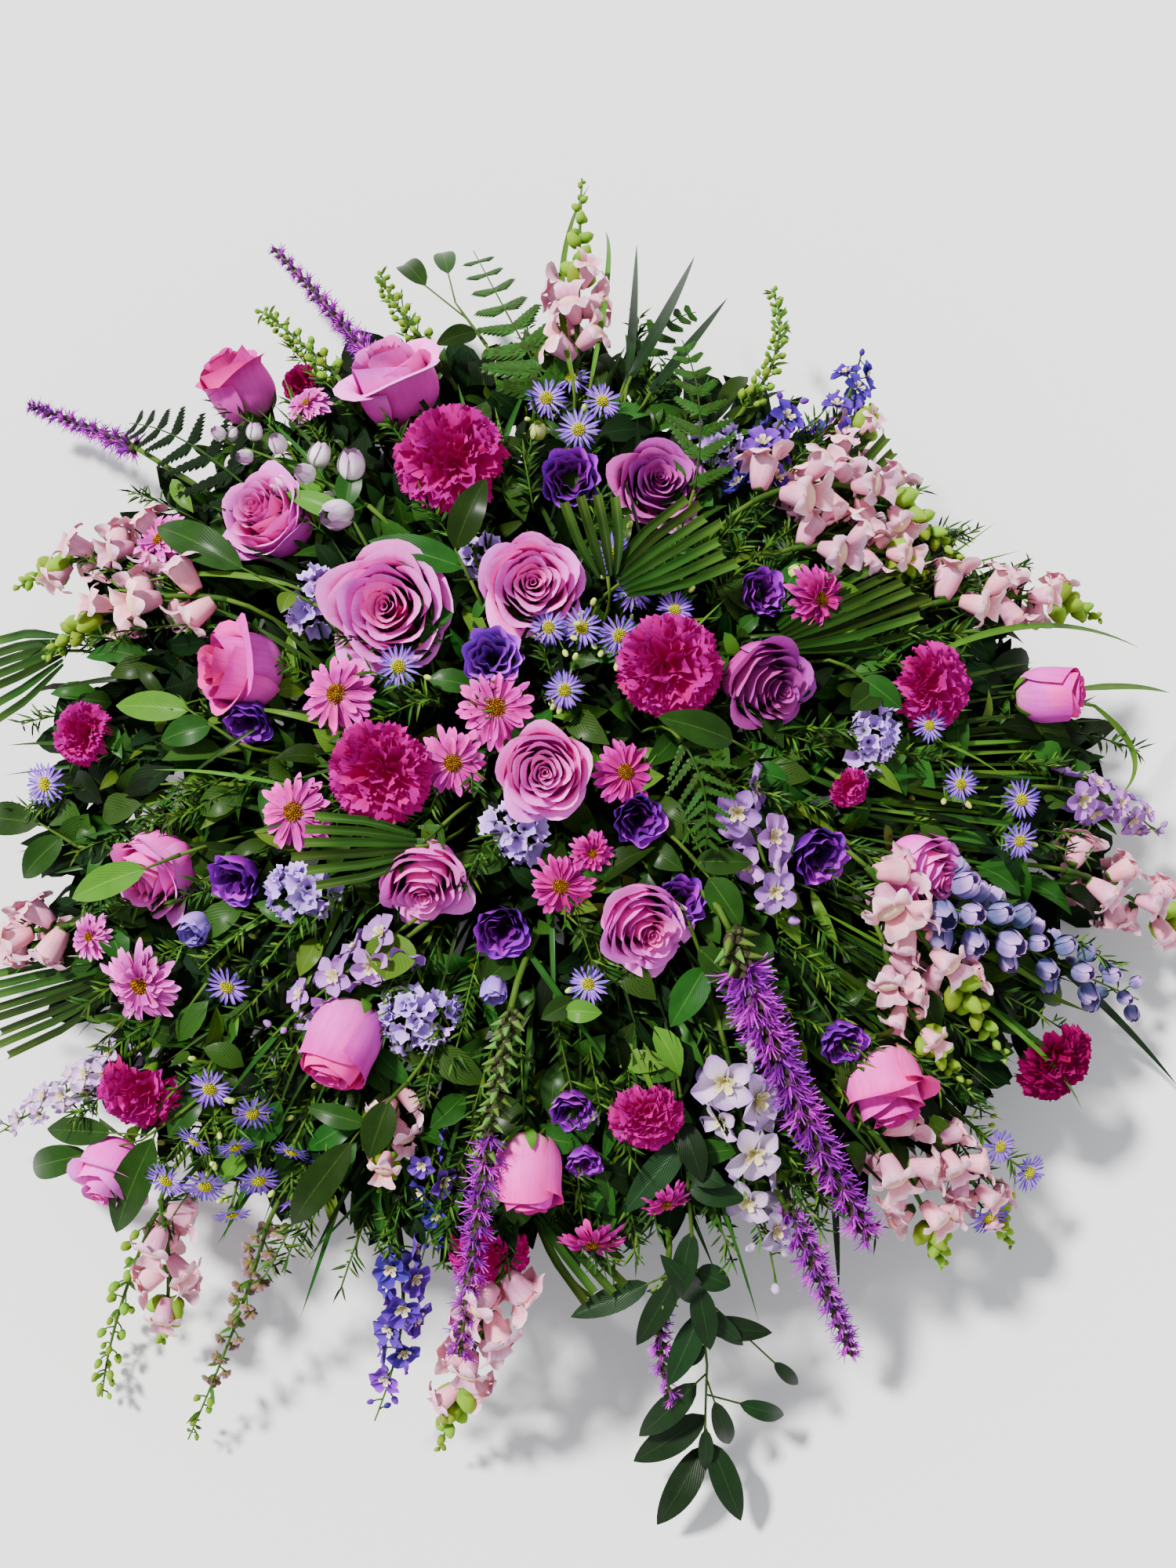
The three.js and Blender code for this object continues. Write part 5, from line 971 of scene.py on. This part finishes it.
def larkspur(draw, row, line, run, half, long):
    """Florets on thin stalks along a spike with buds at its tip; kinds 3 to 6 carry buds or bells alone."""
    kind = row[10]
    count = int(max(long / half * CROWDING[kind], 8))
    share = (np.arange(count) + 0.5) / count
    direction, off = spiral(run, share)
    foot = along_line(line, share - 0.03)
    ends = foot + half * (1 - 0.5 * share)[:, None] * (0.62 * off + 0.3 * direction)
    ends[:, 2] = np.maximum(ends[:, 2], 5.0)
    z = 0.45 * off + direction if kind in (3, 4) else 0.8 * off + 0.35 * direction + (0, 0, 0.5)
    frames = aimed_axes(z, direction)
    bud = (share > 0.8) | (kind in (3, 5, 6))
    bloom = ~bud
    if bloom.any():
        outer, inner = sepal_star(draw)
        n = bloom.sum()
        size = half * (0.92 - 0.3 * share[bloom]) * draw.uniform(0.8, 1.15, n) * (0.6 if kind == 4 else 1)
        tones, depths = (np.repeat(draw.uniform(low, 1, n), 5) for low in (0, 0.4))
        yield laid(outer, ends[bloom], frames[bloom], size, min(kind, 3), tones, depths)
        yield laid(inner, ends[bloom], frames[bloom], size, 4)
    size = (half * (0.46 - 0.2 * share[bud]) * BUD_SIZE[kind] + 1.4) * draw.uniform(0.8, 1.2, bud.sum())
    form = bell_petals(draw) if kind > 4 else lathed(BUD, 9, 5, 0.07)[None]
    tones = np.repeat(draw.uniform(0, 1, bud.sum()), len(form))
    yield laid(form, ends[bud], frames[bud], size, BUD_PAINT[kind], tones)
    if kind in (3, 4):
        yield sheets(needles(line[None], 16, 15.0, 1.3, draw, 0.0), 6, draw.uniform(0, 1, 16))
    stalks = np.stack([foot, 0.5 * (foot + ends) + 0.08 * half * off, ends], 1)
    yield sheets(tubes(stalks, 0.55, 4), 6, 0.6)
    yield rachis(line, 1.6, 0.6, 6)


arrange("larkspurs", "spikes", 800, LARKSPURS, spike_line, larkspur,
        lambda draw, places: spike_stems(places, 1.7, 6), LARKSPUR_SKINS)

# Liatris: dense spikes of feathery purple tufts, each a small bracted cup with curling threads.
# The last value of a row is the share of the spike, from its foot, where the buds are still green.
LIATRIS = {
    "upper": ((485, 475, 6, 425, 400, 14, 350, 318, 22, 40, 0.0), (175, 572, 2, 110, 545, 6, 38, 517, 10, 34, 0.0)),
    "lower": ((930, 1185, 20, 1005, 1380, 12, 1108, 1578, 4, 88, 0.12),
              (1000, 1535, -2, 1050, 1640, -4, 1086, 1728, -6, 64, 0.0),
              (652, 1285, 18, 618, 1490, 22, 586, 1730, 8, 66, 0.42),
              (852, 1625, -6, 842, 1705, -8, 858, 1786, -8, 34, 0.3)),
}
CUP_STEP, THINNEST = 2.3, 13.0
LIATRIS_CUP = lathed(((0.0, 0.0), (0.16, 0.08), (0.2, 0.3), (0.12, 0.46)), 6, 3, 0.12)
LIATRIS_BUD = lathed(((0.1, 0.0), (0.18, 0.2), (0.12, 0.55), (0.03, 0.9), (0.0, 0.95)), 6, 3, 0.2)
THREAD_SKIN = skin("purple threads", (0.12, 0.0, 0.14), (0.36, 0.002, 0.44), (0.54, 0.008, 0.80), (0.2, 0.0, 0.3),
                   veins=0.1, drift=0.5, hue=0.06)
BRACT_SKIN = skin("dark bracts", (0.02, 0.05, 0.01), (0.04, 0.035, 0.02), (0.06, 0.012, 0.05), (0.03, 0.03, 0.01),
                  veins=0.3, drift=0.6)
GREEN_BRACT_SKIN = skin("leafy bracts", (0.05, 0.13, 0.02), (0.09, 0.19, 0.03), (0.30, 0.10, 0.22), (0.05, 0.1, 0.02),
                        veins=0.3, drift=0.6, hue=0.05)


def threads(draw, count=14):
    """Threads of a tuft: narrow strips that leave the cup along z and curl away, length 0.6 to 1."""
    turn = (GOLDEN * np.arange(count))[:, None, None]
    spread = each(draw.uniform(0.15, 0.85, count), count)
    s, v = np.linspace(0, 1, 4)[None, :, None], np.array([-1.0, 1.0])[None, None, :]
    reach = each(draw.uniform(0.6, 1.0, count), count)
    out = reach * (0.12 * s + spread * s**1.7)
    high = reach * (s - 0.25 * spread * s**2)
    return around(out, turn, high, 0.075 * (1 - 0.75 * s) * v)


def liatris(draw, row, line, run, half, long):
    """Cups all along a spike: green buds stand in the lower ones and tufts of threads in the others."""
    half = 1.12 * max(half, THINNEST)
    count = int(long / CUP_STEP)
    share = (np.arange(count) + 0.5) / count
    direction, off = spiral(run, share)
    frames = aimed_axes(unit(off + 0.5 * direction), direction)
    foot = along_line(line, share)
    size = half * (0.86 - 0.3 * share) * draw.uniform(0.8, 1.1, count)
    green = share + draw.uniform(-0.05, 0.05, count) < row[10]
    cups = np.where(green, 0.95, 1.0) * size
    yield laid(LIATRIS_CUP, foot, frames, cups, 1, draw.uniform(0, 1, count))
    if green.any():
        yield laid(LIATRIS_BUD, foot[green], frames[green], size[green], 3, draw.uniform(0, 1, green.sum()))
    tuft = threads(draw) + (0, 0, 0.12)
    tones = np.repeat(draw.uniform(0, 1, (~green).sum()), len(tuft))
    yield laid(tuft, foot[~green], frames[~green], size[~green], 0, tones)
    yield rachis(line, 2.4, 1.2, 2, 0.3)


arrange("liatris", "spikes", 900, LIATRIS, lambda row: spike_line(row, 33), liatris,
        lambda draw, places: spike_stems(places, 2.0, 2), (THREAD_SKIN, BRACT_SKIN, STEM_SKIN, GREEN_BRACT_SKIN))

# Greens: leatherleaf fern, trimmed palm fans, grass blades, leafy ruscus and salal stems, with the rose and
# carnation stems and the leaves that fill the mass; one piece for each quarter of the ring.
# Rows of ferns, palms and blades as for the spikes. A sprig: places of its stem, then its leaves: share of the
# stem, place of the tip, lift, width.
FERNS = (
    (705, 505, 0, 655, 415, 16, 604, 320, 26, 130), (800, 480, 0, 842, 422, 10, 888, 398, 14, 64),
    (885, 625, 8, 892, 520, 24, 870, 434, 30, 104), (335, 640, 2, 240, 565, 12, 165, 540, 12, 140),
    (870, 945, 18, 898, 1010, 26, 900, 1085, 20, 110), (565, 1052, 10, 520, 1090, 14, 492, 1100, 14, 56),
)
PALMS = (
    (775, 735, 18, 765, 690, 28, 748, 622, 30, 66), (790, 745, 16, 860, 715, 26, 925, 668, 24, 110),
    (530, 1080, 14, 455, 1082, 24, 372, 1086, 20, 92), (150, 1235, -4, 60, 1265, -2, -28, 1288, -4, 140),
    (1000, 815, 2, 1090, 780, 8, 1178, 742, 6, 120), (690, 1545, -6, 728, 1600, -6, 786, 1652, -6, 70),
    (80, 830, -6, 20, 858, -8, -34, 880, -8, 110), (1060, 640, 0, 1100, 600, 6, 1130, 560, 8, 80),
)
GRASSES = (
    (805, 480, 4, 850, 400, 20, 886, 327, 28, 16), (830, 500, 4, 880, 440, 16, 928, 380, 22, 14),
    (800, 490, 0, 808, 400, 14, 812, 312, 24, 12), (730, 480, 16, 718, 340, 52, 752, 236, 70, 9),
    (755, 480, 16, 775, 350, 50, 772, 296, 60, 8), (1190, 835, 4, 1330, 798, 8, 1452, 826, 6, 9),
    (1370, 880, 2, 1440, 876, 4, 1492, 884, 0, 9), (1395, 900, 0, 1445, 960, 2, 1432, 1012, 0, 9),
    (1250, 1085, -12, 1340, 1092, -14, 1440, 1118, -18, 14), (1290, 1180, -20, 1410, 1285, -20, 1502, 1385, -16, 12),
    (1060, 1440, -16, 1066, 1560, -18, 1070, 1642, -16, 10), (1035, 1430, -4, 1040, 1500, -4, 1044, 1562, -6, 9),
    (365, 745, 6, 270, 732, 10, 182, 742, 6, 8), (690, 1560, -8, 735, 1640, -8, 790, 1655, -8, 8),
)
SPRIGS = (
    (((868, 1395, 0), (884, 1590, -2), (902, 1740, -6), (898, 1850, -8)),
     ((0.1, 795, 1548, 0, 40), (0.2, 950, 1530, 4, 36), (0.38, 728, 1680, -4, 34), (0.4, 932, 1640, 0, 34),
      (0.48, 842, 1600, 4, 34), (0.55, 985, 1700, -4, 30), (0.62, 845, 1735, 0, 32), (0.7, 815, 1832, -4, 36),
      (0.78, 1000, 1805, -6, 24), (0.86, 808, 1864, -6, 40), (0.9, 945, 1940, -6, 36), (1, 838, 1945, -7, 40),
      (0.3, 862, 1660, 6, 32), (0.44, 906, 1722, 8, 34), (0.5, 948, 1716, 2, 24), (0.52, 852, 1768, 10, 36),
      (0.72, 930, 1842, 2, 26), (0.06, 896, 1508, 10, 36), (0.16, 926, 1512, 12, 30), (0.34, 812, 1716, 4, 34),
      (0.46, 1018, 1766, -2, 18), (0.82, 900, 1876, 2, 20))),
    (((620, 440, 4), (580, 385, 12)), ((0.6, 512, 340, 14, 30), (1, 565, 322, 18, 28), (0.3, 556, 440, 8, 30))),
    (((400, 770, 6), (330, 735, 10)), ((1, 200, 672, 16, 48), (0.4, 358, 782, 12, 24))),
    (((470, 700, 4), (440, 645, 8)), ((0.7, 365, 628, 14, 30), (1, 452, 588, 16, 34))),
    (((600, 740, 6), (580, 700, 12)), ((1, 620, 610, 30, 44), (0.4, 470, 690, 12, 44))),
    (((300, 945, 2), (240, 905, 6)), ((1, 148, 900, 10, 40), (0.5, 205, 945, 8, 40))),
    (((960, 960, 10), (935, 945, 22)), ((1, 838, 914, 34, 46),)),
    (((230, 1090, 10), (185, 1108, 22)), ((1, 92, 1146, 24, 42),)),
    (((520, 1380, 10), (460, 1440, 14)), ((1, 372, 1562, 14, 46), (0.4, 470, 1478, 18, 44), (0.9, 392, 1412, 12, 30))),
    (((230, 1420, -2), (180, 1455, 0)), ((1, 42, 1490, 4, 40), (0.6, 148, 1572, 8, 50), (0.8, 60, 1440, 0, 36))),
    (((880, 1180, 6), (900, 1235, 4)), ((1, 855, 1310, 6, 44), (0.5, 970, 1290, 4, 44))),
    (((520, 1180, 4), (505, 1190, 8)), ((1, 492, 1250, 12, 66),)),
    (((740, 1270, 4), (720, 1290, 8)), ((1, 768, 1292, 12, 30), (0.3, 690, 1300, 10, 30))),
    (((880, 1090, 8), (905, 1120, 10)), ((1, 945, 1180, 14, 44), (0.3, 960, 1100, 12, 36))),
    (((1080, 850, 4), (1120, 880, 6)), ((1, 1085, 905, 8, 40), (0.5, 1150, 905, 8, 36))),
    (((100, 1080, -2), (50, 1050, 0)), ((1, -20, 1045, 2, 44), (0.4, 30, 1120, 2, 40))),
)
BRIGHT_LEAVES = {(92, 1146), (492, 1250), (365, 628), (768, 1292), (358, 782), (148, 900)}
# Salal under the blooms: bearing, reach, height at the foot and at the tip; leaves: share, turn off the run, rise
SALAL = (
    (-30, 312, 66, 82), (-2, 340, 64, 76), (28, 312, 70, 86), (66, 262, 66, 84), (90, 290, 70, 84),
    (114, 262, 62, 80), (152, 312, 66, 82), (178, 340, 64, 76), (208, 312, 70, 86),
)
SALAL_FOOT, SALAL_LONG, SALAL_HALF = 150.0, 84.0, 20.0
SALAL_LEAVES = np.array(((0.3, 54, 6), (0.62, -50, -6), (0.98, 6, 2)))
QUARTERS = ("right", "back", "left", "front")
greens = {name: [] for name in QUARTERS}


def quarter_of(at):
    """Quarter of the ring that a point lies in."""
    return QUARTERS[int(np.round(np.arctan2(at[1], at[0]) / (0.5 * pi))) % 4]


def leaf_pattern(tree, given, x, y, tone):
    """A pale midrib, side veins that slant by 1.1 |x - 0.5|, and mottling between the root and middle colours."""
    aside = maths(tree, "ABSOLUTE", maths(tree, "SUBTRACT", x, 0.5))
    slant = maths(tree, "MULTIPLY", maths(tree, "MULTIPLY_ADD", aside, -1.1, y), given["Fineness"])
    ridge = maths(tree, "PINGPONG", slant, 1.0)
    shade = maths(tree, "MULTIPLY_ADD", maths(tree, "SUBTRACT", ridge, 0.5), given["Veins"], 1.0)
    colour = blend(tree, mottled(tree, 90.0, 4.0), given["Root"], given["Middle"])
    rib = ramp(tree, aside, From_Max=0.035, To_Min=1.0, To_Max=0.0)
    return blend(tree, rib, colour, given["Rim"]), shade, ridge


LEAF = tissue("leaf tissue", leaf_pattern)
GREEN_SKINS = (
    skin("glossy leaves", (0.006, 0.024, 0.003), (0.018, 0.064, 0.007), (0.036, 0.090, 0.013), veins=0.25, drift=1.1,
         hue=0.05, fine=26.0, rough=0.4, coat=0.08, bump=0.2, group=LEAF),
    skin("fern green", (0.014, 0.046, 0.006), (0.027, 0.080, 0.009), (0.018, 0.052, 0.007), veins=0.5, drift=0.9,
         hue=0.05, fine=18.0, rough=0.42, coat=0.05, group=LEAF),
    skin("fresh green leaves", (0.044, 0.110, 0.010), (0.084, 0.175, 0.015), (0.12, 0.21, 0.025), veins=0.2, drift=0.6,
         hue=0.05, fine=20.0, rough=0.42, coat=0.05, group=LEAF),
    # Near black leaves: dark foliage darkened further as painted shade deep in the mass.
    skin("shade darkened leaves", (0.002, 0.006, 0.0018), (0.005, 0.016, 0.0035), (0.009, 0.024, 0.005), veins=0.3, drift=1.0,
         hue=0.05, fine=18.0, rough=0.55, group=LEAF),
    STEM_SKIN,
    skin("pleated palm", (0.008, 0.026, 0.003), (0.016, 0.044, 0.006), (0.042, 0.085, 0.012), (0.010, 0.03, 0.004),
         veins=1.5, drift=0.9, hue=0.04, fine=14.0, rough=0.36),
    skin("dark vine leaves", (0.003, 0.012, 0.003), (0.008, 0.030, 0.006), (0.016, 0.044, 0.010), veins=0.3, drift=0.8,
         fine=22.0, rough=0.42, shine=0.12, coat=0.05, bump=0.4, group=LEAF),
)
GLOSSY, FERN, FRESH, SHADE_DARK, STEM, PALM, VINE = range(7)


def fern_frond(row, draw):
    """Frond: eight pairs of pinnae, longest near the foot of the midrib; each is a blade cut into seven pairs
    of broad pointed lobes that lean to its tip and run into each other at the root."""
    line, run, half, _ = spike_line(row)
    pairs = 8 if row[9] > 70 else 6
    share = 0.04 + 0.94 * (1 - (1 - np.arange(pairs) / pairs) ** 1.3)
    gap = np.abs(np.gradient(share)) * np.linalg.norm(line[-1] - line[0])
    reach = half * np.minimum(0.95 + 1.2 * share, 1.28 - 0.98 * share)
    root, direction = along_line(line, share), along_line(run, share)
    inner = np.linspace(0.02, 0.9, 7)
    size = (0.34 * gap[:, None] * (1.1 - inner) ** 0.5 + 0.5)[..., None]
    leaflets = []
    for sign in (-1.0, 1.0):
        aside = unit(np.cross(direction, (0.0, 0.0, 1.0))) * sign
        out = unit(aside + 0.75 * direction + draw.normal(0, 0.08, root.shape) - (0, 0, 0.10))
        flat = unit(np.cross(out, direction)) * sign
        flat = flat * np.where(flat[:, 2:] < 0, -1.0, 1.0)
        joint = root[:, None] + (out * reach[:, None])[:, None] * inner[None, :, None]
        across = unit(np.cross(out, flat))
        for edge in (-1.0, 1.0):
            tip = joint + (unit(edge * across + 1.15 * out)[:, None] - (0, 0, 0.12)) * size
            leaflets.append(leafy(joint.reshape(-1, 3), tip.reshape(-1, 3), (0.36 * size).ravel(), bow=0.05,
                                  face=np.repeat(flat, 7, 0), widest=0.34, pointed=0.62))
        leaflets.append(leafy(root, root + out * (1.06 * reach)[:, None], 0.13 * gap + 0.4, bow=0.0, fold=0.1,
                              face=flat, widest=0.3))
    # This frond takes the near black leaf colour, which is painted shade.
    paint = SHADE_DARK if row[0] == 335 else FERN
    blocks = [sheets(part, paint, draw.uniform(0, 1, len(part))) for part in leaflets]
    return line[0], -run[0], blocks + [rachis(line, 1.0, 0.4, FERN, 0.3)]


def palm_fan(row, draw):
    """Trimmed palm: pleated strips leave a short rib one after another, spread and lie nearly side by side;
    each is a shallow V of even width with a blunt cut end."""
    foot, middle, tip = three_places(row)
    half = 0.5 * row[9] * picture_scale(middle)
    strips = max(4, int(row[9] / 14))
    long = np.linalg.norm(tip - foot)
    run = (tip - foot) / long
    aside = unit(np.cross(run, (0.0, 0.0, 1.0)))
    way = np.linspace(1, -1, strips)[:, None, None, None]
    s, v = np.linspace(0, 1, 7)[None, :, None, None], np.linspace(-1, 1, 5)[None, None, :, None]
    far = long * (0.86 + 0.14 * np.cos(1.3 * way)) * draw.uniform(0.84, 1.0, (strips, 1, 1, 1))
    wide = 0.76 * half / strips * np.minimum(0.4 + 2.2 * s, 1.0) + 0.1
    spread = half * (0.34 + 0.66 * np.minimum(1.5 * s, 0.4 + 0.6 * s))
    pleat = 0.75 * wide * (np.abs(v) - 0.5) + 0.05 * long * np.sin(0.5 * pi * s) * (1 - way**2)
    pleat = pleat + 0.03 * long * s * draw.uniform(-1, 1, (strips, 1, 1, 1))
    points = foot + run * far * s + aside * (way * spread + wide * v) + np.cross(aside, run) * pleat
    return foot, -run, [sheets(points, PALM, draw.uniform(0, 1, strips))]


def grass_blade(row, draw):
    """Long blade: a quadratic line through its places, half width tapering to the tip, shallow V section."""
    line, run, half, _ = spike_line(row, 17)
    aside = unit(np.cross(run, (0.0, 0.0, 1.0)))
    s, v = np.linspace(0, 1, 17)[:, None, None], np.array([-1.0, 0.0, 1.0])[None, :, None]
    wide = half * np.minimum(0.5 + 2 * s, 1.0) * (1 - s**2.5) + 0.15
    points = line[:, None] + aside[:, None] * wide * v + np.cross(aside, run)[:, None] * 0.3 * wide * np.abs(v)
    return line[0], -run[0], [sheets(points, FRESH if row[9] < 10 else VINE, draw.uniform(0, 1))]


def leafy_sprig(stem_row, leaf_rows, draw):
    """Ruscus: a wiry stem through its places and glossy pointed leaves from it to their tips."""
    places = np.array([placed(*place) for place in stem_row])
    line = along_line(places, np.linspace(0, 1, 13))
    blocks = [rachis(line, 1.5, 0.7, STEM, 0.3)]
    for share, u, v, lift, wide in leaf_rows:
        root = along_line(places, np.array([min(share, 0.98)]))
        tip = placed(u, v, lift)[None]
        half = 0.5 * wide * picture_scale(tip[0])
        start = tip + (root - tip) * min(6.4 * half / np.linalg.norm(tip - root), 1.0)
        stalk = np.linspace(root, start + 0.05 * (tip - start), 4).reshape(1, 4, 3)
        made = leafy(start, tip, half, 12, 7, draw.uniform(0.03, 0.14), fold=0.2, widest=0.42, pointed=0.85)
        paint = FRESH if (u, v) in BRIGHT_LEAVES else VINE if len(leaf_rows) > 6 else GLOSSY
        blocks += [sheets(tubes(stalk, 0.7), STEM, 0.3), sheets(made, paint, draw.uniform(0, 1))]
    return line[0], -unit(line[1] - line[0]), blocks


def salal_stem(bearing, reach, foot, end, draw):
    """Salal: a straight stem outwards under the blooms, with broad leaves that turn off its run."""
    turns = radians(bearing) + np.radians([0, *SALAL_LEAVES[:, 1]])
    way = around(1.0, turns, 0.0)
    line = np.linspace(SALAL_FOOT * way[0] + (0, 0, foot), (reach - SALAL_LONG) * way[0] + (0, 0, end), 9)
    roots = along_line(line, SALAL_LEAVES[:, 0])
    tips = roots + SALAL_LONG * way[1:] + SALAL_LEAVES[:, 2:] * (0, 0, 1)
    made = leafy(roots, tips, SALAL_HALF, 12, 7, draw.uniform(0.05, 0.12, 3), fold=0.2, widest=0.4, pointed=0.7)
    return line[0], -way[0], [sheets(made, GLOSSY, draw.uniform(0, 1, 3)), sheets(tubes(line, 1.4), STEM, 0.3)]


draw = np.random.default_rng(41)
grown = [fern_frond(row, draw) for row in FERNS] + [palm_fan(row, draw) for row in PALMS]
grown += [grass_blade(row, draw) for row in GRASSES] + [leafy_sprig(*sprig, draw) for sprig in SPRIGS]
grown += [salal_stem(*row, draw) for row in SALAL]
for foot, back, blocks in grown:
    stem = tubes(stem_paths(foot, 30 * back, CORE + 90 * unit(foot - CORE)), 1.2)
    greens[quarter_of(foot)] += blocks + [sheets(stem, STEM, 0.3)]

# Rose and carnation stems, each from the foam to the foot of its head
for table, foot_share, thick in ((ROSES, 1.0, 2.3), (CARNATIONS, 0.62, 1.7)):
    for at, radius, axes in (bloom_spot(row, row[-1]) for row in table):
        seat = at - axes[2] * foot_share * radius
        paths = stem_paths(seat, -60 * axes[2], CORE + 20 * unit(at - CORE), 14)
        greens[quarter_of(at)].append(sheets(tubes(paths, thick, 7), STEM, draw.uniform(0, 1)))

# Leaves that fill the mass: dark rose and spray foliage on the stems below the blooms, much of it near black as painted
# shade,
# long grass blades that fan outwards, and needle leaved aster stems. Middle of the mass in the picture and its reach
# round it:
MASS_U, MASS_V = 735.0, 985.0
REACH_ANGLES = np.radians((-180, -150, -120, -100, -70, -50, -30, 0, 25, 50, 70, 90, 115, 140, 160, 180))
REACH = (700, 650, 610, 570, 540, 530, 570, 700, 715, 665, 610, 590, 660, 730, 720, 700)


def scattered(count, inner, outer, lift):
    """Random places under the dome: shares of the mass's reach at random angles, evenly over its area."""
    angle = draw.uniform(-pi, pi, count)
    reach = np.interp(angle, REACH_ANGLES, REACH) * np.sqrt(draw.uniform(inner**2, outer**2, count))
    return placed(MASS_U + reach * np.cos(angle), MASS_V + reach * np.sin(angle), lift)


def under_roof(tips, gap):
    """Points kept above the table and below the blooms by a gap."""
    roof = dome_height(tips[..., 0], tips[..., 1]) - gap
    tips[..., 2] = np.clip(tips[..., 2], 4.0, np.maximum(roof, 5.0))
    return tips


def add_greens(points, anchors, paints, tones):
    """Shares leaves out among the four quarters by where they are rooted."""
    which = np.array([quarter_of(p) for p in anchors])
    for side in QUARTERS:
        for paint in np.unique(paints):
            picked = (which == side) & (paints == paint)
            if picked.any():
                greens[side].append(sheets(points[picked], int(paint), tones[picked]))


def add_blades(roots, tips, half, bow, rows, widest, paints, chances, **shape):
    """Leaves from roots to tips, each painted by chance."""
    count = len(roots)
    blades = leafy(roots, tips, half, rows, bow=bow, widest=widest, **shape)
    add_greens(blades, roots, draw.choice(paints, count, p=chances), draw.uniform(0, 1, count))


# Scattered pointed leaves run outwards with a share wild of chance and face anywhere upwards; rows: count, inner
# and outer share of the reach, depth under the dome, length, half width, wild, paints, their chances, roof gap
# All of the deepest leaves, and a share of the others, take the near black leaf colour, which is painted shade.
for count, inner, outer, depths, long, half, wild, paints, chances, gap in (
    (1600, 0.0, 0.91, (36, 100), (36, 56), (9, 15), 0.9, (SHADE_DARK,), (1.0,), 16),
    (1500, 0.0, 0.92, (10, 46), (22, 42), (3.5, 7), 0.8, (SHADE_DARK, FERN, GLOSSY, FRESH), (0.42, 0.24, 0.22, 0.12), 5),
    (500, 0.72, 0.92, (4, 40), (26, 42), (7, 11), 0.9, (SHADE_DARK, FERN), (0.8, 0.2), 12),
    (330, 0.0, 0.88, (6, 26), (30, 48), (7, 11), 0.9, (GLOSSY, FERN, FRESH), (0.62, 0.26, 0.12), 2),
):
    lift = -draw.uniform(*depths, count)
    roots = scattered(count, inner, outer, lift)
    way = unit(unit(roots - CORE) + draw.normal(0, wild, roots.shape))
    tips = under_roof(roots + way * draw.uniform(*long, (count, 1)), gap)
    facing = unit(np.array([0, 0, 1.0]) + draw.normal(0, 0.55, roots.shape))
    add_blades(roots, tips, draw.uniform(*half, count), 0.14, 6, 0.45, paints, chances, fold=0.25, face=facing)

# Grass blades and long thin leaves
lift = -draw.uniform(8, 45, 300)
roots = scattered(300, 0.2, 0.8, lift)
way = unit((roots - CORE) * (1, 1, 0.35) + draw.normal(0, 60, roots.shape))
tips = under_roof(roots + way * draw.uniform(60, 130, (300, 1)), -2.0)
add_blades(roots, tips, draw.uniform(1.0, 2.4, 300), draw.uniform(-0.1, 0.2, 300), 8, 0.35,
           (SHADE_DARK, GLOSSY, FERN, FRESH), (0.35, 0.3, 0.2, 0.15), fold=0.3)

# Fan of long straight blades under the right hand spikes
angle = np.radians(draw.uniform(-14, 42, 90))
near, far = draw.uniform(330, 450, 90), draw.uniform(560, 690, 90)
lift = -draw.uniform(2, 22, 90)
roots, tips = (placed(MASS_U + out * np.cos(angle), MASS_V + out * np.sin(angle), lift) for out in (near, far))
add_blades(roots, tips, draw.uniform(0.8, 1.7, 90), draw.uniform(0.0, 0.06, 90), 9, 0.3, (GLOSSY, FERN, FRESH),
           (0.3, 0.4, 0.3), fold=0.3)

# Needle leaved stems
lift = -draw.uniform(4, 28, 230)
roots = scattered(230, 0.1, 0.94, lift)
way = unit((roots - CORE) * (1, 1, 0.4) + draw.normal(0, 30, roots.shape))
tips = under_roof(roots + way * draw.uniform(40, 75, (230, 1)), 0.0)
s = np.linspace(0, 1, 7)[None, :, None]
twigs = roots[:, None] * (1 - s) + tips[:, None] * s + np.array((0, 0, 6.0)) * np.sin(pi * s)
sprays = needles(twigs, 34, 15.0, 0.75, draw, 0.05)
add_greens(sprays, sprays[:, 0, 1], draw.choice((FERN, FRESH, SHADE_DARK), len(sprays), p=(0.55, 0.2, 0.25)),
           draw.uniform(0, 1, len(sprays)))
add_greens(tubes(twigs, 0.6, 4), roots, np.full(230, STEM), draw.uniform(0, 1, 230))

for side in QUARTERS:
    grow(f"greens_{side}", "leaves", greens[side], GREEN_SKINS)
